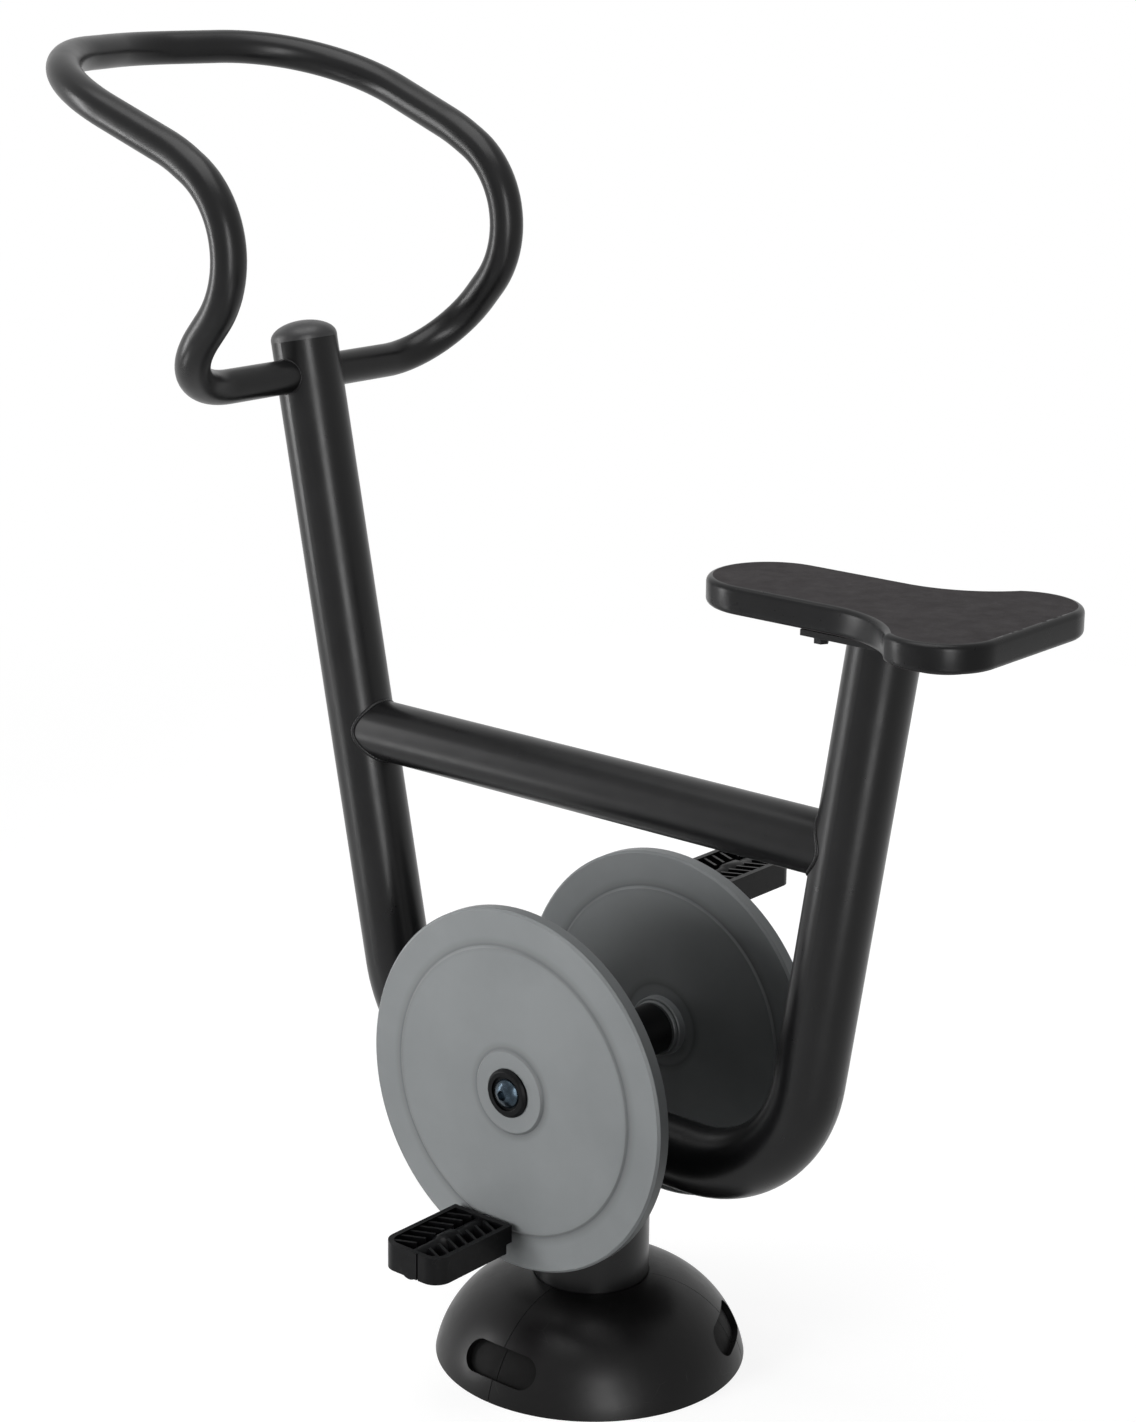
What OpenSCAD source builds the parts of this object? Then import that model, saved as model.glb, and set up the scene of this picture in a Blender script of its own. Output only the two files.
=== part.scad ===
// Outdoor exercise bike: an upright pedalling machine on one round foot.
// Millimetres. +X is forward, +Y is the rider's left, +Z is up.
// The origin is the centre of the foot on the ground.

/* [Ground foot] */

// diameter of the upright ground post
ground_post_d = 120; // [110:1:124]
// wall of the ground post
ground_post_wall = 4; // [3:0.5:6]
// diameter of the foot plate
flange_d = 280; // [270:2:290]
// thickness of the foot plate
flange_t = 12; // [8:1:16]
// pitch circle of the anchor bolts
anchor_pcd = 220; // [200:2:230]
// diameter of an anchor hole
anchor_d = 18; // [12:1:22]
// how far below the ground the centre of the cover's arc lies
cover_drop = 22; // [18:1:26]
// outer arc radius of the domed cover
cover_arc_r = 111; // [106:1:112]
// wall of the domed cover
cover_wall = 3.5; // [2.5:0.5:4.5]
// depth of the oval recess in the cover
recess_depth = 7; // [4:0.5:8]

/* [Frame] */

// outside diameter of the main tube
main_d = 70; // [64:1:74]
// wall of the main tube
main_wall = 3; // [2:0.5:4]
// centre-line radius of the main tube's bends
main_bend_r = 140; // [120:5:150]
// height of the lower tube's centre line
lower_z = 250; // [246:1:254]
// distance of each lower corner from the foot's centre
corner_x = 250; // [235:5:265]
// lean of the front post, degrees
post_lean = 11.6; // [9:0.2:14]
// lean of the seat tube, degrees
seat_lean = 8.7; // [6:0.1:11]
// outside diameter of the cross tube
cross_d = 63; // [54:1:66]
// height of the cross tube's centre line
cross_z = 612; // [590:2:640]

/* [Handlebar] */

// outside diameter of the handlebar tube
bar_d = 36; // [32:1:38]
// wall of the handlebar tube
bar_wall = 2.5; // [2:0.5:3.5]
// height of the handlebar where it crosses the front post
bar_z = 982; // [960:2:1000]
// half width of the handlebar's side hoops
bar_half_w = 205; // [190:5:220]
// how far the grip bend sits behind the crossing
grip_back = 149; // [140:1:155]
// how far the grip bend sits above the crossing
grip_up = 173; // [165:1:180]
// how far the front bar sits ahead of the crossing
front_reach = 261; // [250:1:275]
// how far the front bar sits above the crossing
front_up = 324; // [310:2:340]

/* [Saddle] */

// height of the saddle's top
saddle_top_z = 861; // [840:1:880]
// thickness of the saddle
saddle_t = 32; // [26:1:38]
// half width of the saddle's nose
nose_half_w = 64; // [58:1:68]
// half width across the saddle's wings
wing_half_w = 121; // [115:1:130]
// radius of each wing's rear corner
wing_r = 55; // [48:1:58]

/* [Crank] */

// height of the crank axle
hub_z = 325; // [322:1:330]
// diameter of each disc
disc_d = 373; // [366:1:380]
// thickness of a disc's rim
disc_t = 17; // [14:1:20]
// distance of each disc's outer rim face from the middle
disc_face_y = 128.4; // [126:0.2:132]
// radius of the raised plateau on each disc
ring_r = 146.6; // [138:0.2:150]
// how far the plateau rises from the rim face
plateau_h = 1.6; // [0.8:0.1:2.4]
// radius of each disc's raised hub
hub_boss_r = 44; // [38:1:50]
// distance of the pedal spindles from the axle
crank_r = 155; // [152:1:160]
// angle of the left spindle ahead of straight down, degrees
crank_angle = 10.9; // [-20:0.1:40]

/* [Pedals] */

// length of a pedal along its spindle
pedal_len = 110; // [104:1:116]
// width of a pedal
pedal_w = 76; // [70:1:84]
// height of a pedal
pedal_h = 28; // [26:1:32]

/* [Hidden] */

$fn = 96;

// Colours
powder_black = [0.10, 0.10, 0.105];
cover_black = [0.12, 0.12, 0.12];
seat_black = [0.15, 0.15, 0.15];
pedal_black = [0.09, 0.09, 0.09];
disc_grey = [0.50, 0.52, 0.51];
steel = [0.62, 0.63, 0.65];
rubber_black = [0.06, 0.06, 0.06];

// Seats and small clearances
seat_gap = 0.05;
fit_gap = 0.03;
slide_gap = 0.3;
eps = 1;

// Ground post and foot
post_r = ground_post_d / 2;
anchor_count = 6;
anchor_first = 30;
rib_t = 8;
rib_h = 55;
rib_out_r = 130;
rib_toe_h = 10;
rib_top = 6;
rib_root = 5;
flange_bore_r = 40;
lid_t = 5;
post_top_drop = 10;
post_top_z = lower_z - post_top_drop;

// Domed cover
cover_arc_x = 52;
cover_neck_r = post_r + 1;
cover_big = 200;
seam_gap_deg = 0.15;
seam_first = 90;
recess_z = 37;
recess_tilt = asin((recess_z + cover_drop) / cover_arc_r);
recess_len = 90;
recess_w = 34;
recess_wall = 3;
recess_span = 28;
recess_over = 8;
lap_deg = 6;
lap_z0 = 62;
lap_z1 = 76;
lap_t = 3;
lap_root_in = 0.5;

// Main tube
main_r = main_d / 2;
main_bore_r = main_r - main_wall;
post_dir = [sin(post_lean), 0, cos(post_lean)];
seat_dir = [-sin(seat_lean), 0, cos(seat_lean)];
front_corner = [corner_x, 0, lower_z];
rear_corner = [-corner_x, 0, lower_z];
front_turn = 90 - post_lean;
rear_turn = 90 - seat_lean;
front_cut = main_bend_r * tan(front_turn / 2);
rear_cut = main_bend_r * tan(rear_turn / 2);
cut_over = 20;

// Saddle plate and its bolts
saddle_under_z = saddle_top_z - saddle_t;
plate_t = 6;
plate_x = 130;
plate_y = 90;
plate_under_z = saddle_under_z - plate_t;
saddle_bolt_r = 4;
saddle_bolt_dx = 50;
saddle_bolt_dy = 32;
saddle_bolt_depth = 18;
saddle_head_r = 7.5;
saddle_head_h = 5.3;
saddle_washer_r = 8.5;
saddle_washer_t = 1.6;
saddle_x = seat_x(plate_under_z);
saddle_ahead = 192;
saddle_behind = 158;
saddle_front_x = saddle_x + saddle_ahead;
saddle_rear_x = saddle_x - saddle_behind;
waist_r = 110;
waist_crease = 2;
waist_y = nose_half_w + waist_r;
wing_x = saddle_rear_x + wing_r;
wing_y = wing_half_w - wing_r;
waist_x = wing_x + sqrt(pow(waist_r + wing_r - waist_crease, 2) - pow(waist_y - wing_y, 2));

// Front post, handlebar crossing and cap
bar_r = bar_d / 2;
bar_bore_r = bar_r - bar_wall;
bar_s = lean_len(bar_z, post_lean);
bar_cover = 18;
post_over = bar_cover + bar_r;
post_top_s = bar_s + post_over;
bar_x = post_x(bar_z);
cap_rim = 2;
cap_rise = 18;
cap_plug = 13;
cap_step = 5;

// Handlebar corners, measured from the crossing
knee_back = 21.5;
knee_up = 245;
front_corner_back = 70;
front_flare = 11;
hb_origin = [bar_x, 0, bar_z];
hb_low = [0, bar_half_w, 0];
hb_grip = [-grip_back, bar_half_w, grip_up];
hb_knee = [-knee_back, bar_half_w, knee_up];
hb_front = [front_reach - front_corner_back, bar_half_w + front_flare, front_up];
hb_nose = [front_reach, 0, front_up];
low_bend_r = 88;
grip_bend_r = 98;
knee_bend_r = 190;
front_bend_r = 165;
nose_bend_r = 135;
butt_gap = 0.1;
spigot_len = 1;
spigot_in = 0.75;

// Cross tube
cross_r = cross_d / 2;
cross_wall = 3;

// Discs
disc_r = disc_d / 2;
disc_in_y = disc_face_y - disc_t;
plateau_y = disc_face_y + plateau_h;
plateau_in_y = disc_in_y - plateau_h;
plateau_slope = 2.5;
hub_boss_h = 3;
hub_boss_taper = 2.5;
boss_out_y = plateau_y + hub_boss_h;
inner_boss_r = 32;
inner_boss_len = 12.3;
inner_lip_r = 28.5;
inner_lip_len = 3;
housing_end_gap = 2.5;
inner_boss_y = plateau_in_y - inner_boss_len;
rim_chamfer = 2.5;
boss_chamfer = 1;
key_w = 8;
key_top_r = 15.5;
key_bed_r = 8.5;
key_back = 1.5;
key_front = 5;
shaft_back = 1;
key_y0 = inner_boss_y + key_back;
key_y1 = disc_face_y - key_front;
shaft_end_y = disc_face_y - shaft_back;
bolt_tip_gap = 3;
hub_hole_depth = 34;
hub_bolt_r = 6;
cup_r = 25;
cup_h = 5;
cup_edge = 2.5;
cup_floor = 2;
cup_well_r = 17.5;
head_r = 15;
head_h = 9;
head_sphere_r = 18;
socket_r = 5.8;
socket_depth = 5;

// Crank housing and bearings
housing_r = 27;
housing_half = inner_boss_y - housing_end_gap;
housing_bore_r = 20.5;
bearing_r = 23.5;
bearing_w = 12;
bearing_inset = 4;
bearing_out_y = housing_half - bearing_inset;
bearing_in_y = bearing_out_y - bearing_w;
shaft_r = 12.5;
shoulder_r = 14.6;
spacer_r = 15.3;
race_out_r = 20.4;
race_in_r = 15.4;
ball_path_r = (race_out_r + race_in_r) / 2;
ball_r = 3.5;
ball_gap = 0.1;
ball_count = 10;
seal_t = 0.8;
ring_t = 1.2;
ring_groove_r = 24.6;
cradle_t = 8;
cradle_y = 18;
cradle_foot = 62;
cradle_head = 31;
cradle_top_z = hub_z - 12;
ring_slot_w = 8;
ring_slot_h = 12;
ring_lip = 1;
seal_inset = 0.5;

// Spindles and pedals
pin_dir = [sin(crank_angle), 0, -cos(crank_angle)];
thread_r = 7.1;
collar_r = 11;
collar_t = 5;
collar_flat = 2;
flat_box = 10;
flat_lip = 1.5;
journal_r = 6;
thread_len = 14;
thread_hole_len = 15;
spot_r = 12;
pedal_stand = 7.6;
pedal_y0 = disc_face_y + pedal_stand;
pedal_y1 = pedal_y0 + pedal_len;
pedal_wall = 6;
pedal_corner_r = 18;
pedal_inner_r = 4;
axle_tube_r = 11;
axle_bulge_r = 13.5;
bulge_y = pedal_y0 + 38;
bulge_len = 30;
bulge_taper = 6;
pedal_rib_t = 3;
pedal_rib_turn = 24;
pedal_rib_y = pedal_y0 + 7;
pedal_rib_step = 13.5;
pedal_rib_count = 7;
pedal_rib_drop = 1.2;
pedal_web_t = 3;
pedal_groove_x = 10;
pedal_groove_w = 2;
pedal_groove_depth = 1.6;
notch_w = 20;
notch_len = 8;
notch_h = 10;
end_boss_r = 13;
end_boss_drop = 3;
end_boss_len = 14;
bush_r = 8;
bush_len = 14;
bush_flange_r = 10.5;
pedal_mid_r = 7;
end_well_r = 9.5;
end_well_depth = 22;
stud_r = 4;
lock_washer_r = 8.4;
lock_washer_t = 1.2;
lock_nut_r = 7.5;
lock_nut_h = 6.5;
plug_depth = 4;
stud_over = 1;
bush2_y1 = pedal_y1 - end_well_depth;
bush2_y0 = bush2_y1 - bush_len;
journal_end_y = bush2_y1 + slide_gap;
stud_end_y = journal_end_y + lock_washer_t + lock_nut_h + stud_over;

function lean_len(z, lean) = (z - lower_z) / cos(lean);
function seat_x(z) = -corner_x - (z - lower_z) * tan(seat_lean);
function post_x(z) = corner_x + (z - lower_z) * tan(post_lean);
function unit(v) = v / norm(v);
function turn(u, v) = acos(u * v);
function bend_cut(u, v, r) = r * tan(turn(u, v) / 2);
function across(w) = unit(cross(w, abs(w[0]) > 0.9 ? [0, 0, 1] : [1, 0, 0]));

// Puts its children in the frame with origin o and unit axes x and y
module place(o, x, y) {
  z = cross(x, y);
  multmatrix([[x[0], y[0], z[0], o[0]], [x[1], y[1], z[1], o[1]], [x[2], y[2], z[2], o[2]], [0, 0, 0, 1]])
    children();
}

// A straight length of pipe from p to q; a bore of 0 makes it solid
module pipe_run(p, q, r, bore) {
  w = unit(q - p);
  a = across(w);
  place(p, a, cross(w, a))
    difference() {
      cylinder(h = norm(q - p), r = r);
      if (bore > 0)
        translate([0, 0, -eps])
          cylinder(h = norm(q - p) + 2 * eps, r = bore);
    }
}

// A pipe bend at corner c, from direction u to direction v
module pipe_bend(c, u, v, bend_r, r, bore) {
  n = unit(v - (v * u) * u);
  place(c - bend_cut(u, v, bend_r) * u + bend_r * n, -n, u)
    rotate_extrude(angle = turn(u, v))
      translate([bend_r, 0])
        difference() {
          circle(r);
          circle(bore);
        }
}

// A cylinder along Y from y0 to y1
module y_rod(y0, y1, r, r2 = -1) {
  translate([0, y0, 0])
    rotate([-90, 0, 0])
      cylinder(h = y1 - y0, r1 = r, r2 = r2 < 0 ? r : r2);
}

// Children on the left side's spindle axis, or mirrored on the right side's
module on_pin(side) {
  translate([side * crank_r * pin_dir[0], 0, hub_z + side * crank_r * pin_dir[2]])
    mirror([0, side > 0 ? 0 : 1, 0])
      children();
}

// Children on the axle, as made for the left or mirrored for the right
module on_axle(side) {
  translate([0, 0, hub_z])
    mirror([0, side > 0 ? 0 : 1, 0])
      children();
}

// Children on the axle at both sides
module both_ends() {
  on_axle(1)
    children();
  on_axle(-1)
    children();
}

// Ground foot

module base_flange() {
  color(powder_black)
    difference() {
      cylinder(h = flange_t, d = flange_d);
      translate([0, 0, -eps])
        cylinder(h = flange_t + 2 * eps, r = flange_bore_r);
      for (i = [0 : anchor_count - 1])
        rotate([0, 0, anchor_first + i * 360 / anchor_count])
          translate([anchor_pcd / 2, 0, -eps])
            cylinder(h = flange_t + 2 * eps, d = anchor_d);
    }
}

module base_ribs() {
  color(powder_black)
    for (i = [0 : anchor_count - 1])
      rotate([0, 0, i * 360 / anchor_count])
        difference() {
          translate([0, rib_t / 2, flange_t])
            rotate([90, 0, 0])
              linear_extrude(rib_t)
                polygon([[post_r - rib_root, 0], [rib_out_r, 0], [rib_out_r, rib_toe_h],
                  [post_r + rib_top, rib_h], [post_r - rib_root, rib_h]]);
          cylinder(h = flange_t + rib_h + eps, r = post_r);
        }
}

module ground_post() {
  color(powder_black)
    difference() {
      translate([0, 0, flange_t])
        cylinder(h = post_top_z - flange_t, r = post_r);
      translate([0, 0, flange_t - eps])
        cylinder(h = post_top_z - flange_t + 2 * eps, r = post_r - ground_post_wall);
      translate([-post_r - eps, 0, lower_z])
        rotate([0, 90, 0])
          cylinder(h = 2 * (post_r + eps), r = main_r);
    }
}

module post_lid() {
  color(powder_black)
    difference() {
      translate([0, 0, post_top_z])
        cylinder(h = lid_t, r = post_r);
      translate([-post_r - eps, 0, lower_z])
        rotate([0, 90, 0])
          cylinder(h = 2 * (post_r + eps), r = main_r);
    }
}

// The band between two arcs of the cover's section, kept above the ground and outside the neck
module cover_section(r_out, r_in, z0 = 0, z1 = cover_big) {
  intersection() {
    translate([cover_arc_x, -cover_drop])
      difference() {
        circle(r_out);
        circle(r_in);
      }
    translate([cover_neck_r, z0])
      square([cover_big, z1 - z0]);
  }
}

// A length of that band, turned about the post from angle a0 to a1
module cover_shell(a0, a1, r_out, r_in, z0 = 0, z1 = cover_big) {
  rotate([0, 0, a0])
    rotate_extrude(angle = a1 - a0)
      cover_section(r_out, r_in, z0, z1);
}

// A lying oval prism that looks out along the cover's normal at the recess height
module recess_prism(a, grow) {
  w = recess_w / 2 + grow;
  l = recess_len / 2 - recess_w / 2;
  rotate([0, 0, a])
    translate([cover_arc_x, 0, -cover_drop])
      rotate([0, 90 - recess_tilt, 0])
        translate([0, 0, cover_arc_r / 2])
          linear_extrude(cover_arc_r) {
            translate([-w, -l])
              square([2 * w, 2 * l]);
            for (s = [-1, 1])
              translate([0, s * l])
                circle(w);
          }
}

// A third of the cover, with half a recess at each seam and a lap under the next third
module cover_third(first) {
  a0 = first + seam_gap_deg;
  a1 = first + 120 - seam_gap_deg;
  color(cover_black)
    difference() {
      union() {
        cover_shell(a0, a1, cover_arc_r, cover_arc_r - cover_wall);
        intersection() {
          cover_shell(a0, a0 + recess_span, cover_arc_r - eps, cover_arc_r - recess_depth - recess_wall);
          recess_prism(first, recess_wall);
        }
        intersection() {
          cover_shell(a1 - recess_span, a1, cover_arc_r - eps, cover_arc_r - recess_depth - recess_wall);
          recess_prism(first + 120, recess_wall);
        }
        cover_shell(a1 - lap_deg + lap_root_in, a1 - lap_root_in, cover_arc_r - cover_wall / 2,
          cover_arc_r - cover_wall - lap_t / 2, lap_z0 + eps, lap_z1 - eps);
        cover_shell(a1 - lap_deg, a1 + lap_deg, cover_arc_r - cover_wall - slide_gap,
          cover_arc_r - cover_wall - lap_t, lap_z0, lap_z1);
      }
      intersection() {
        cover_shell(a0 - eps, a0 + recess_span, cover_arc_r + recess_over, cover_arc_r - recess_depth, -eps);
        recess_prism(first, 0);
      }
      intersection() {
        cover_shell(a1 - recess_span, a1 + eps, cover_arc_r + recess_over, cover_arc_r - recess_depth, -eps);
        recess_prism(first + 120, 0);
      }
    }
}

module cover_left() {
  cover_third(seam_first);
}

module cover_rear() {
  cover_third(seam_first + 120);
}

module cover_front() {
  cover_third(seam_first + 240);
}

// Frame

module lower_tube() {
  color(powder_black) {
    pipe_run(rear_corner + [rear_cut, 0, 0], front_corner - [front_cut, 0, 0], main_r, main_bore_r);
    pipe_bend(front_corner, [1, 0, 0], post_dir, main_bend_r, main_r, main_bore_r);
    pipe_bend(rear_corner, [-1, 0, 0], seat_dir, main_bend_r, main_r, main_bore_r);
  }
}

module front_post() {
  color(powder_black)
    difference() {
      pipe_run(front_corner + front_cut * post_dir, front_corner + post_top_s * post_dir, main_r,
        main_bore_r);
      translate([bar_x, 0, bar_z])
        y_rod(-main_d, main_d, bar_r);
    }
}

module seat_tube() {
  color(powder_black)
    difference() {
      pipe_run(rear_corner + rear_cut * seat_dir,
        rear_corner + (lean_len(plate_under_z, seat_lean) + cut_over) * seat_dir, main_r, main_bore_r);
      translate([saddle_x - 2 * main_r, -2 * main_r, plate_under_z])
        cube([4 * main_r, 4 * main_r, 2 * cut_over]);
    }
}

module cross_tube() {
  color(powder_black)
    difference() {
      pipe_run([seat_x(cross_z), 0, cross_z], [post_x(cross_z), 0, cross_z], cross_r, cross_r - cross_wall);
      pipe_run(front_corner, front_corner + lean_len(cross_z + cross_d, post_lean) * post_dir, main_r, 0);
      pipe_run(rear_corner, rear_corner + lean_len(cross_z + cross_d, seat_lean) * seat_dir, main_r, 0);
    }
}

module bar_bend(c, u, v, bend_r) {
  pipe_bend(c, u, v, bend_r, bar_r, bar_bore_r);
}

// A straight length of the handlebar from p to q. A hairline butt joint and a spigot inside the
// tube's wall join it to what stands at each end.
module bar_run(p, q) {
  w = unit(q - p);
  pipe_run(p + butt_gap * w, q - butt_gap * w, bar_r, bar_bore_r);
  for (e = [p, q])
    pipe_run(e - spigot_len * w, e + spigot_len * w, bar_r - spigot_in, bar_bore_r + spigot_in);
}

// One side of the handlebar, from the low bend to the front bend
module hoop_side() {
  u0 = [0, 1, 0];
  u1 = unit(hb_grip - hb_low);
  u2 = unit(hb_knee - hb_grip);
  u3 = unit(hb_front - hb_knee);
  u4 = unit(hb_nose - hb_front);
  u5 = [-u4[0], u4[1], u4[2]];
  bar_bend(hb_low, u0, u1, low_bend_r);
  bar_run(hb_low + bend_cut(u0, u1, low_bend_r) * u1, hb_grip - bend_cut(u1, u2, grip_bend_r) * u1);
  bar_bend(hb_grip, u1, u2, grip_bend_r);
  bar_run(hb_grip + bend_cut(u1, u2, grip_bend_r) * u2, hb_knee - bend_cut(u2, u3, knee_bend_r) * u2);
  bar_bend(hb_knee, u2, u3, knee_bend_r);
  bar_run(hb_knee + bend_cut(u2, u3, knee_bend_r) * u3, hb_front - bend_cut(u3, u4, front_bend_r) * u3);
  bar_bend(hb_front, u3, u4, front_bend_r);
  bar_run(hb_front + bend_cut(u3, u4, front_bend_r) * u4, hb_nose - bend_cut(u4, u5, nose_bend_r) * u4);
}

module handlebar() {
  u1 = unit(hb_grip - hb_low);
  u4 = unit(hb_nose - hb_front);
  straight = bar_half_w - bend_cut([0, 1, 0], u1, low_bend_r);
  color(powder_black)
    translate(hb_origin) {
      bar_run([0, -straight, 0], [0, straight, 0]);
      hoop_side();
      mirror([0, 1, 0])
        hoop_side();
      bar_bend(hb_nose, u4, [-u4[0], u4[1], u4[2]], nose_bend_r);
    }
}

// The cap's plug and its dome, whose section is a quarter of an ellipse
module post_cap() {
  color(seat_black)
    place(front_corner + post_top_s * post_dir, [cos(post_lean), 0, -sin(post_lean)], [0, 1, 0])
      rotate_extrude() {
        translate([0, -cap_plug])
          square([main_bore_r - seat_gap, cap_plug + cap_rim]);
        polygon([[0, 0], [main_r, 0], for (a = [0 : cap_step : 90 - cap_step]) [main_r * cos(a),
          cap_rim + cap_rise * sin(a)], [0, cap_rim + cap_rise]]);
      }
}

module axle_cradle() {
  color(powder_black)
    for (s = [-1, 1])
      difference() {
        translate([0, s * cradle_y + cradle_t / 2, 0])
          rotate([90, 0, 0])
            linear_extrude(cradle_t)
              polygon([[-cradle_foot, lower_z], [cradle_foot, lower_z], [cradle_foot, lower_z + main_r],
                [cradle_head, cradle_top_z], [-cradle_head, cradle_top_z], [-cradle_foot, lower_z + main_r]]);
        translate([0, 0, hub_z])
          y_rod(-housing_half, housing_half, housing_r);
        translate([-cradle_foot - eps, 0, lower_z])
          rotate([0, 90, 0])
            cylinder(h = 2 * (cradle_foot + eps), r = main_r);
      }
}

module axle_housing() {
  color(powder_black)
    translate([0, 0, hub_z])
      difference() {
        y_rod(-housing_half, housing_half, housing_r);
        y_rod(-housing_half - eps, housing_half + eps, housing_bore_r);
        for (s = [0, 1])
          mirror([0, s, 0]) {
            y_rod(bearing_in_y, housing_half + eps, bearing_r);
            y_rod(bearing_out_y, bearing_out_y + ring_t, ring_groove_r);
          }
      }
}

// The torus in which the balls run
module ball_path(r) {
  translate([0, (bearing_in_y + bearing_out_y) / 2, 0])
    rotate([90, 0, 0])
      rotate_extrude()
        translate([ball_path_r, 0])
          circle(r);
}

module bearing_outer_rings() {
  color(steel)
    both_ends()
      difference() {
        y_rod(bearing_in_y, bearing_out_y, bearing_r);
        y_rod(bearing_in_y - eps, bearing_out_y + eps, race_out_r);
        ball_path(ball_r);
      }
}

module bearing_inner_rings() {
  color(steel)
    both_ends()
      difference() {
        y_rod(bearing_in_y, bearing_out_y, race_in_r);
        y_rod(bearing_in_y - eps, bearing_out_y + eps, shaft_r);
        ball_path(ball_r);
      }
}

module bearing_balls() {
  color(steel)
    both_ends()
      for (i = [0 : ball_count - 1])
        rotate([0, i * 360 / ball_count, 0])
          translate([ball_path_r, (bearing_in_y + bearing_out_y) / 2, 0])
            sphere(ball_r - ball_gap);
}

module bearing_seals() {
  color(rubber_black)
    both_ends()
      for (y = [bearing_in_y + seal_inset, bearing_out_y - seal_inset - seal_t])
        difference() {
          y_rod(y, y + seal_t, race_out_r);
          y_rod(y - eps, y + seal_t + eps, race_in_r + slide_gap);
        }
}

module retaining_rings() {
  color(steel)
    both_ends()
      difference() {
        y_rod(bearing_out_y, bearing_out_y + ring_t, ring_groove_r);
        y_rod(bearing_out_y - eps, bearing_out_y + ring_t + eps, race_out_r + ring_lip);
        translate([-ring_slot_w / 2, bearing_out_y - eps, ring_groove_r - ring_slot_h / 2])
          cube([ring_slot_w, ring_t + 2 * eps, ring_slot_h]);
      }
}

// Saddle

module saddle_bolt_places() {
  for (x = [-1, 1], y = [-1, 1])
    translate([saddle_x + x * saddle_bolt_dx, y * saddle_bolt_dy, 0])
      children();
}

module saddle_plate() {
  color(powder_black)
    difference() {
      translate([saddle_x - plate_x / 2, -plate_y / 2, plate_under_z])
        cube([plate_x, plate_y, plate_t]);
      saddle_bolt_places()
        translate([0, 0, plate_under_z - eps])
          cylinder(h = plate_t + 2 * eps, r = saddle_bolt_r + seat_gap);
    }
}

// One wing and the waist beside it, on the +Y side
module saddle_side() {
  difference() {
    union() {
      translate([wing_x, wing_y])
        circle(wing_r);
      polygon([[wing_x, 0], [waist_x, 0], [waist_x, waist_y], [wing_x, wing_y]]);
    }
    translate([waist_x, waist_y])
      circle(waist_r);
  }
}

// The saddle from above: a round nose, straight flanks and a winged tail
module saddle_outline() {
  nose_x = saddle_front_x - nose_half_w;
  translate([nose_x, 0])
    circle(nose_half_w);
  translate([wing_x, -nose_half_w])
    square([nose_x - wing_x, 2 * nose_half_w]);
  translate([saddle_rear_x, -wing_y])
    square([wing_r, 2 * wing_y]);
  saddle_side();
  mirror([0, 1])
    saddle_side();
}

module saddle() {
  color(seat_black)
    difference() {
      translate([0, 0, saddle_under_z])
        linear_extrude(saddle_t)
          saddle_outline();
      saddle_bolt_places()
        translate([0, 0, saddle_under_z - eps])
          cylinder(h = saddle_bolt_depth + eps, r = saddle_bolt_r + seat_gap);
    }
}

module saddle_bolts() {
  color(steel)
    saddle_bolt_places() {
      translate([0, 0, plate_under_z - saddle_washer_t])
        cylinder(h = plate_t + saddle_washer_t + saddle_bolt_depth - 1, r = saddle_bolt_r);
      translate([0, 0, plate_under_z - saddle_washer_t - saddle_head_h])
        cylinder(h = saddle_head_h, r = saddle_head_r, $fn = 6);
    }
}

module saddle_washers() {
  color(steel)
    saddle_bolt_places()
      difference() {
        translate([0, 0, plate_under_z - saddle_washer_t])
          cylinder(h = saddle_washer_t, r = saddle_washer_r);
        translate([0, 0, plate_under_z - saddle_washer_t - eps])
          cylinder(h = saddle_washer_t + 2 * eps, r = saddle_bolt_r + seat_gap);
      }
}

// Crank

// The square key's space between y0 and y1
module keyway(y0, y1) {
  translate([-key_w / 2, y0, key_bed_r])
    cube([key_w, y1 - y0, key_top_r - key_bed_r]);
}

module axle_shaft() {
  color(steel)
    translate([0, 0, hub_z])
      difference() {
        union() {
          y_rod(-shaft_end_y, shaft_end_y, shaft_r);
          y_rod(-bearing_in_y, bearing_in_y, shoulder_r);
        }
        for (s = [0, 1])
          mirror([0, s, 0]) {
            keyway(key_y0, key_y1);
            y_rod(shaft_end_y - hub_hole_depth, shaft_end_y + eps, hub_bolt_r);
          }
      }
}

module disc_keys() {
  color(steel)
    both_ends()
      keyway(key_y0, key_y1);
}

module axle_spacers() {
  color(steel)
    both_ends()
      difference() {
        y_rod(bearing_out_y, inner_boss_y, spacer_r);
        y_rod(bearing_out_y - eps, inner_boss_y + eps, shaft_r);
      }
}

// Radial half section of a disc: x is the radius, y the distance from the middle
module disc_section() {
  polygon([[shaft_r, inner_boss_y], [inner_lip_r - boss_chamfer, inner_boss_y],
    [inner_lip_r, inner_boss_y + boss_chamfer], [inner_lip_r, inner_boss_y + inner_lip_len],
    [inner_boss_r - boss_chamfer, inner_boss_y + inner_lip_len],
    [inner_boss_r, inner_boss_y + inner_lip_len + boss_chamfer], [inner_boss_r, plateau_in_y],
    [ring_r, plateau_in_y], [ring_r + plateau_slope, disc_in_y], [disc_r - rim_chamfer, disc_in_y],
    [disc_r, disc_in_y + rim_chamfer], [disc_r, disc_face_y - rim_chamfer],
    [disc_r - rim_chamfer, disc_face_y], [ring_r + plateau_slope, disc_face_y], [ring_r, plateau_y],
    [hub_boss_r, plateau_y], [hub_boss_r - hub_boss_taper, boss_out_y], [shaft_r, boss_out_y]]);
}

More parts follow.
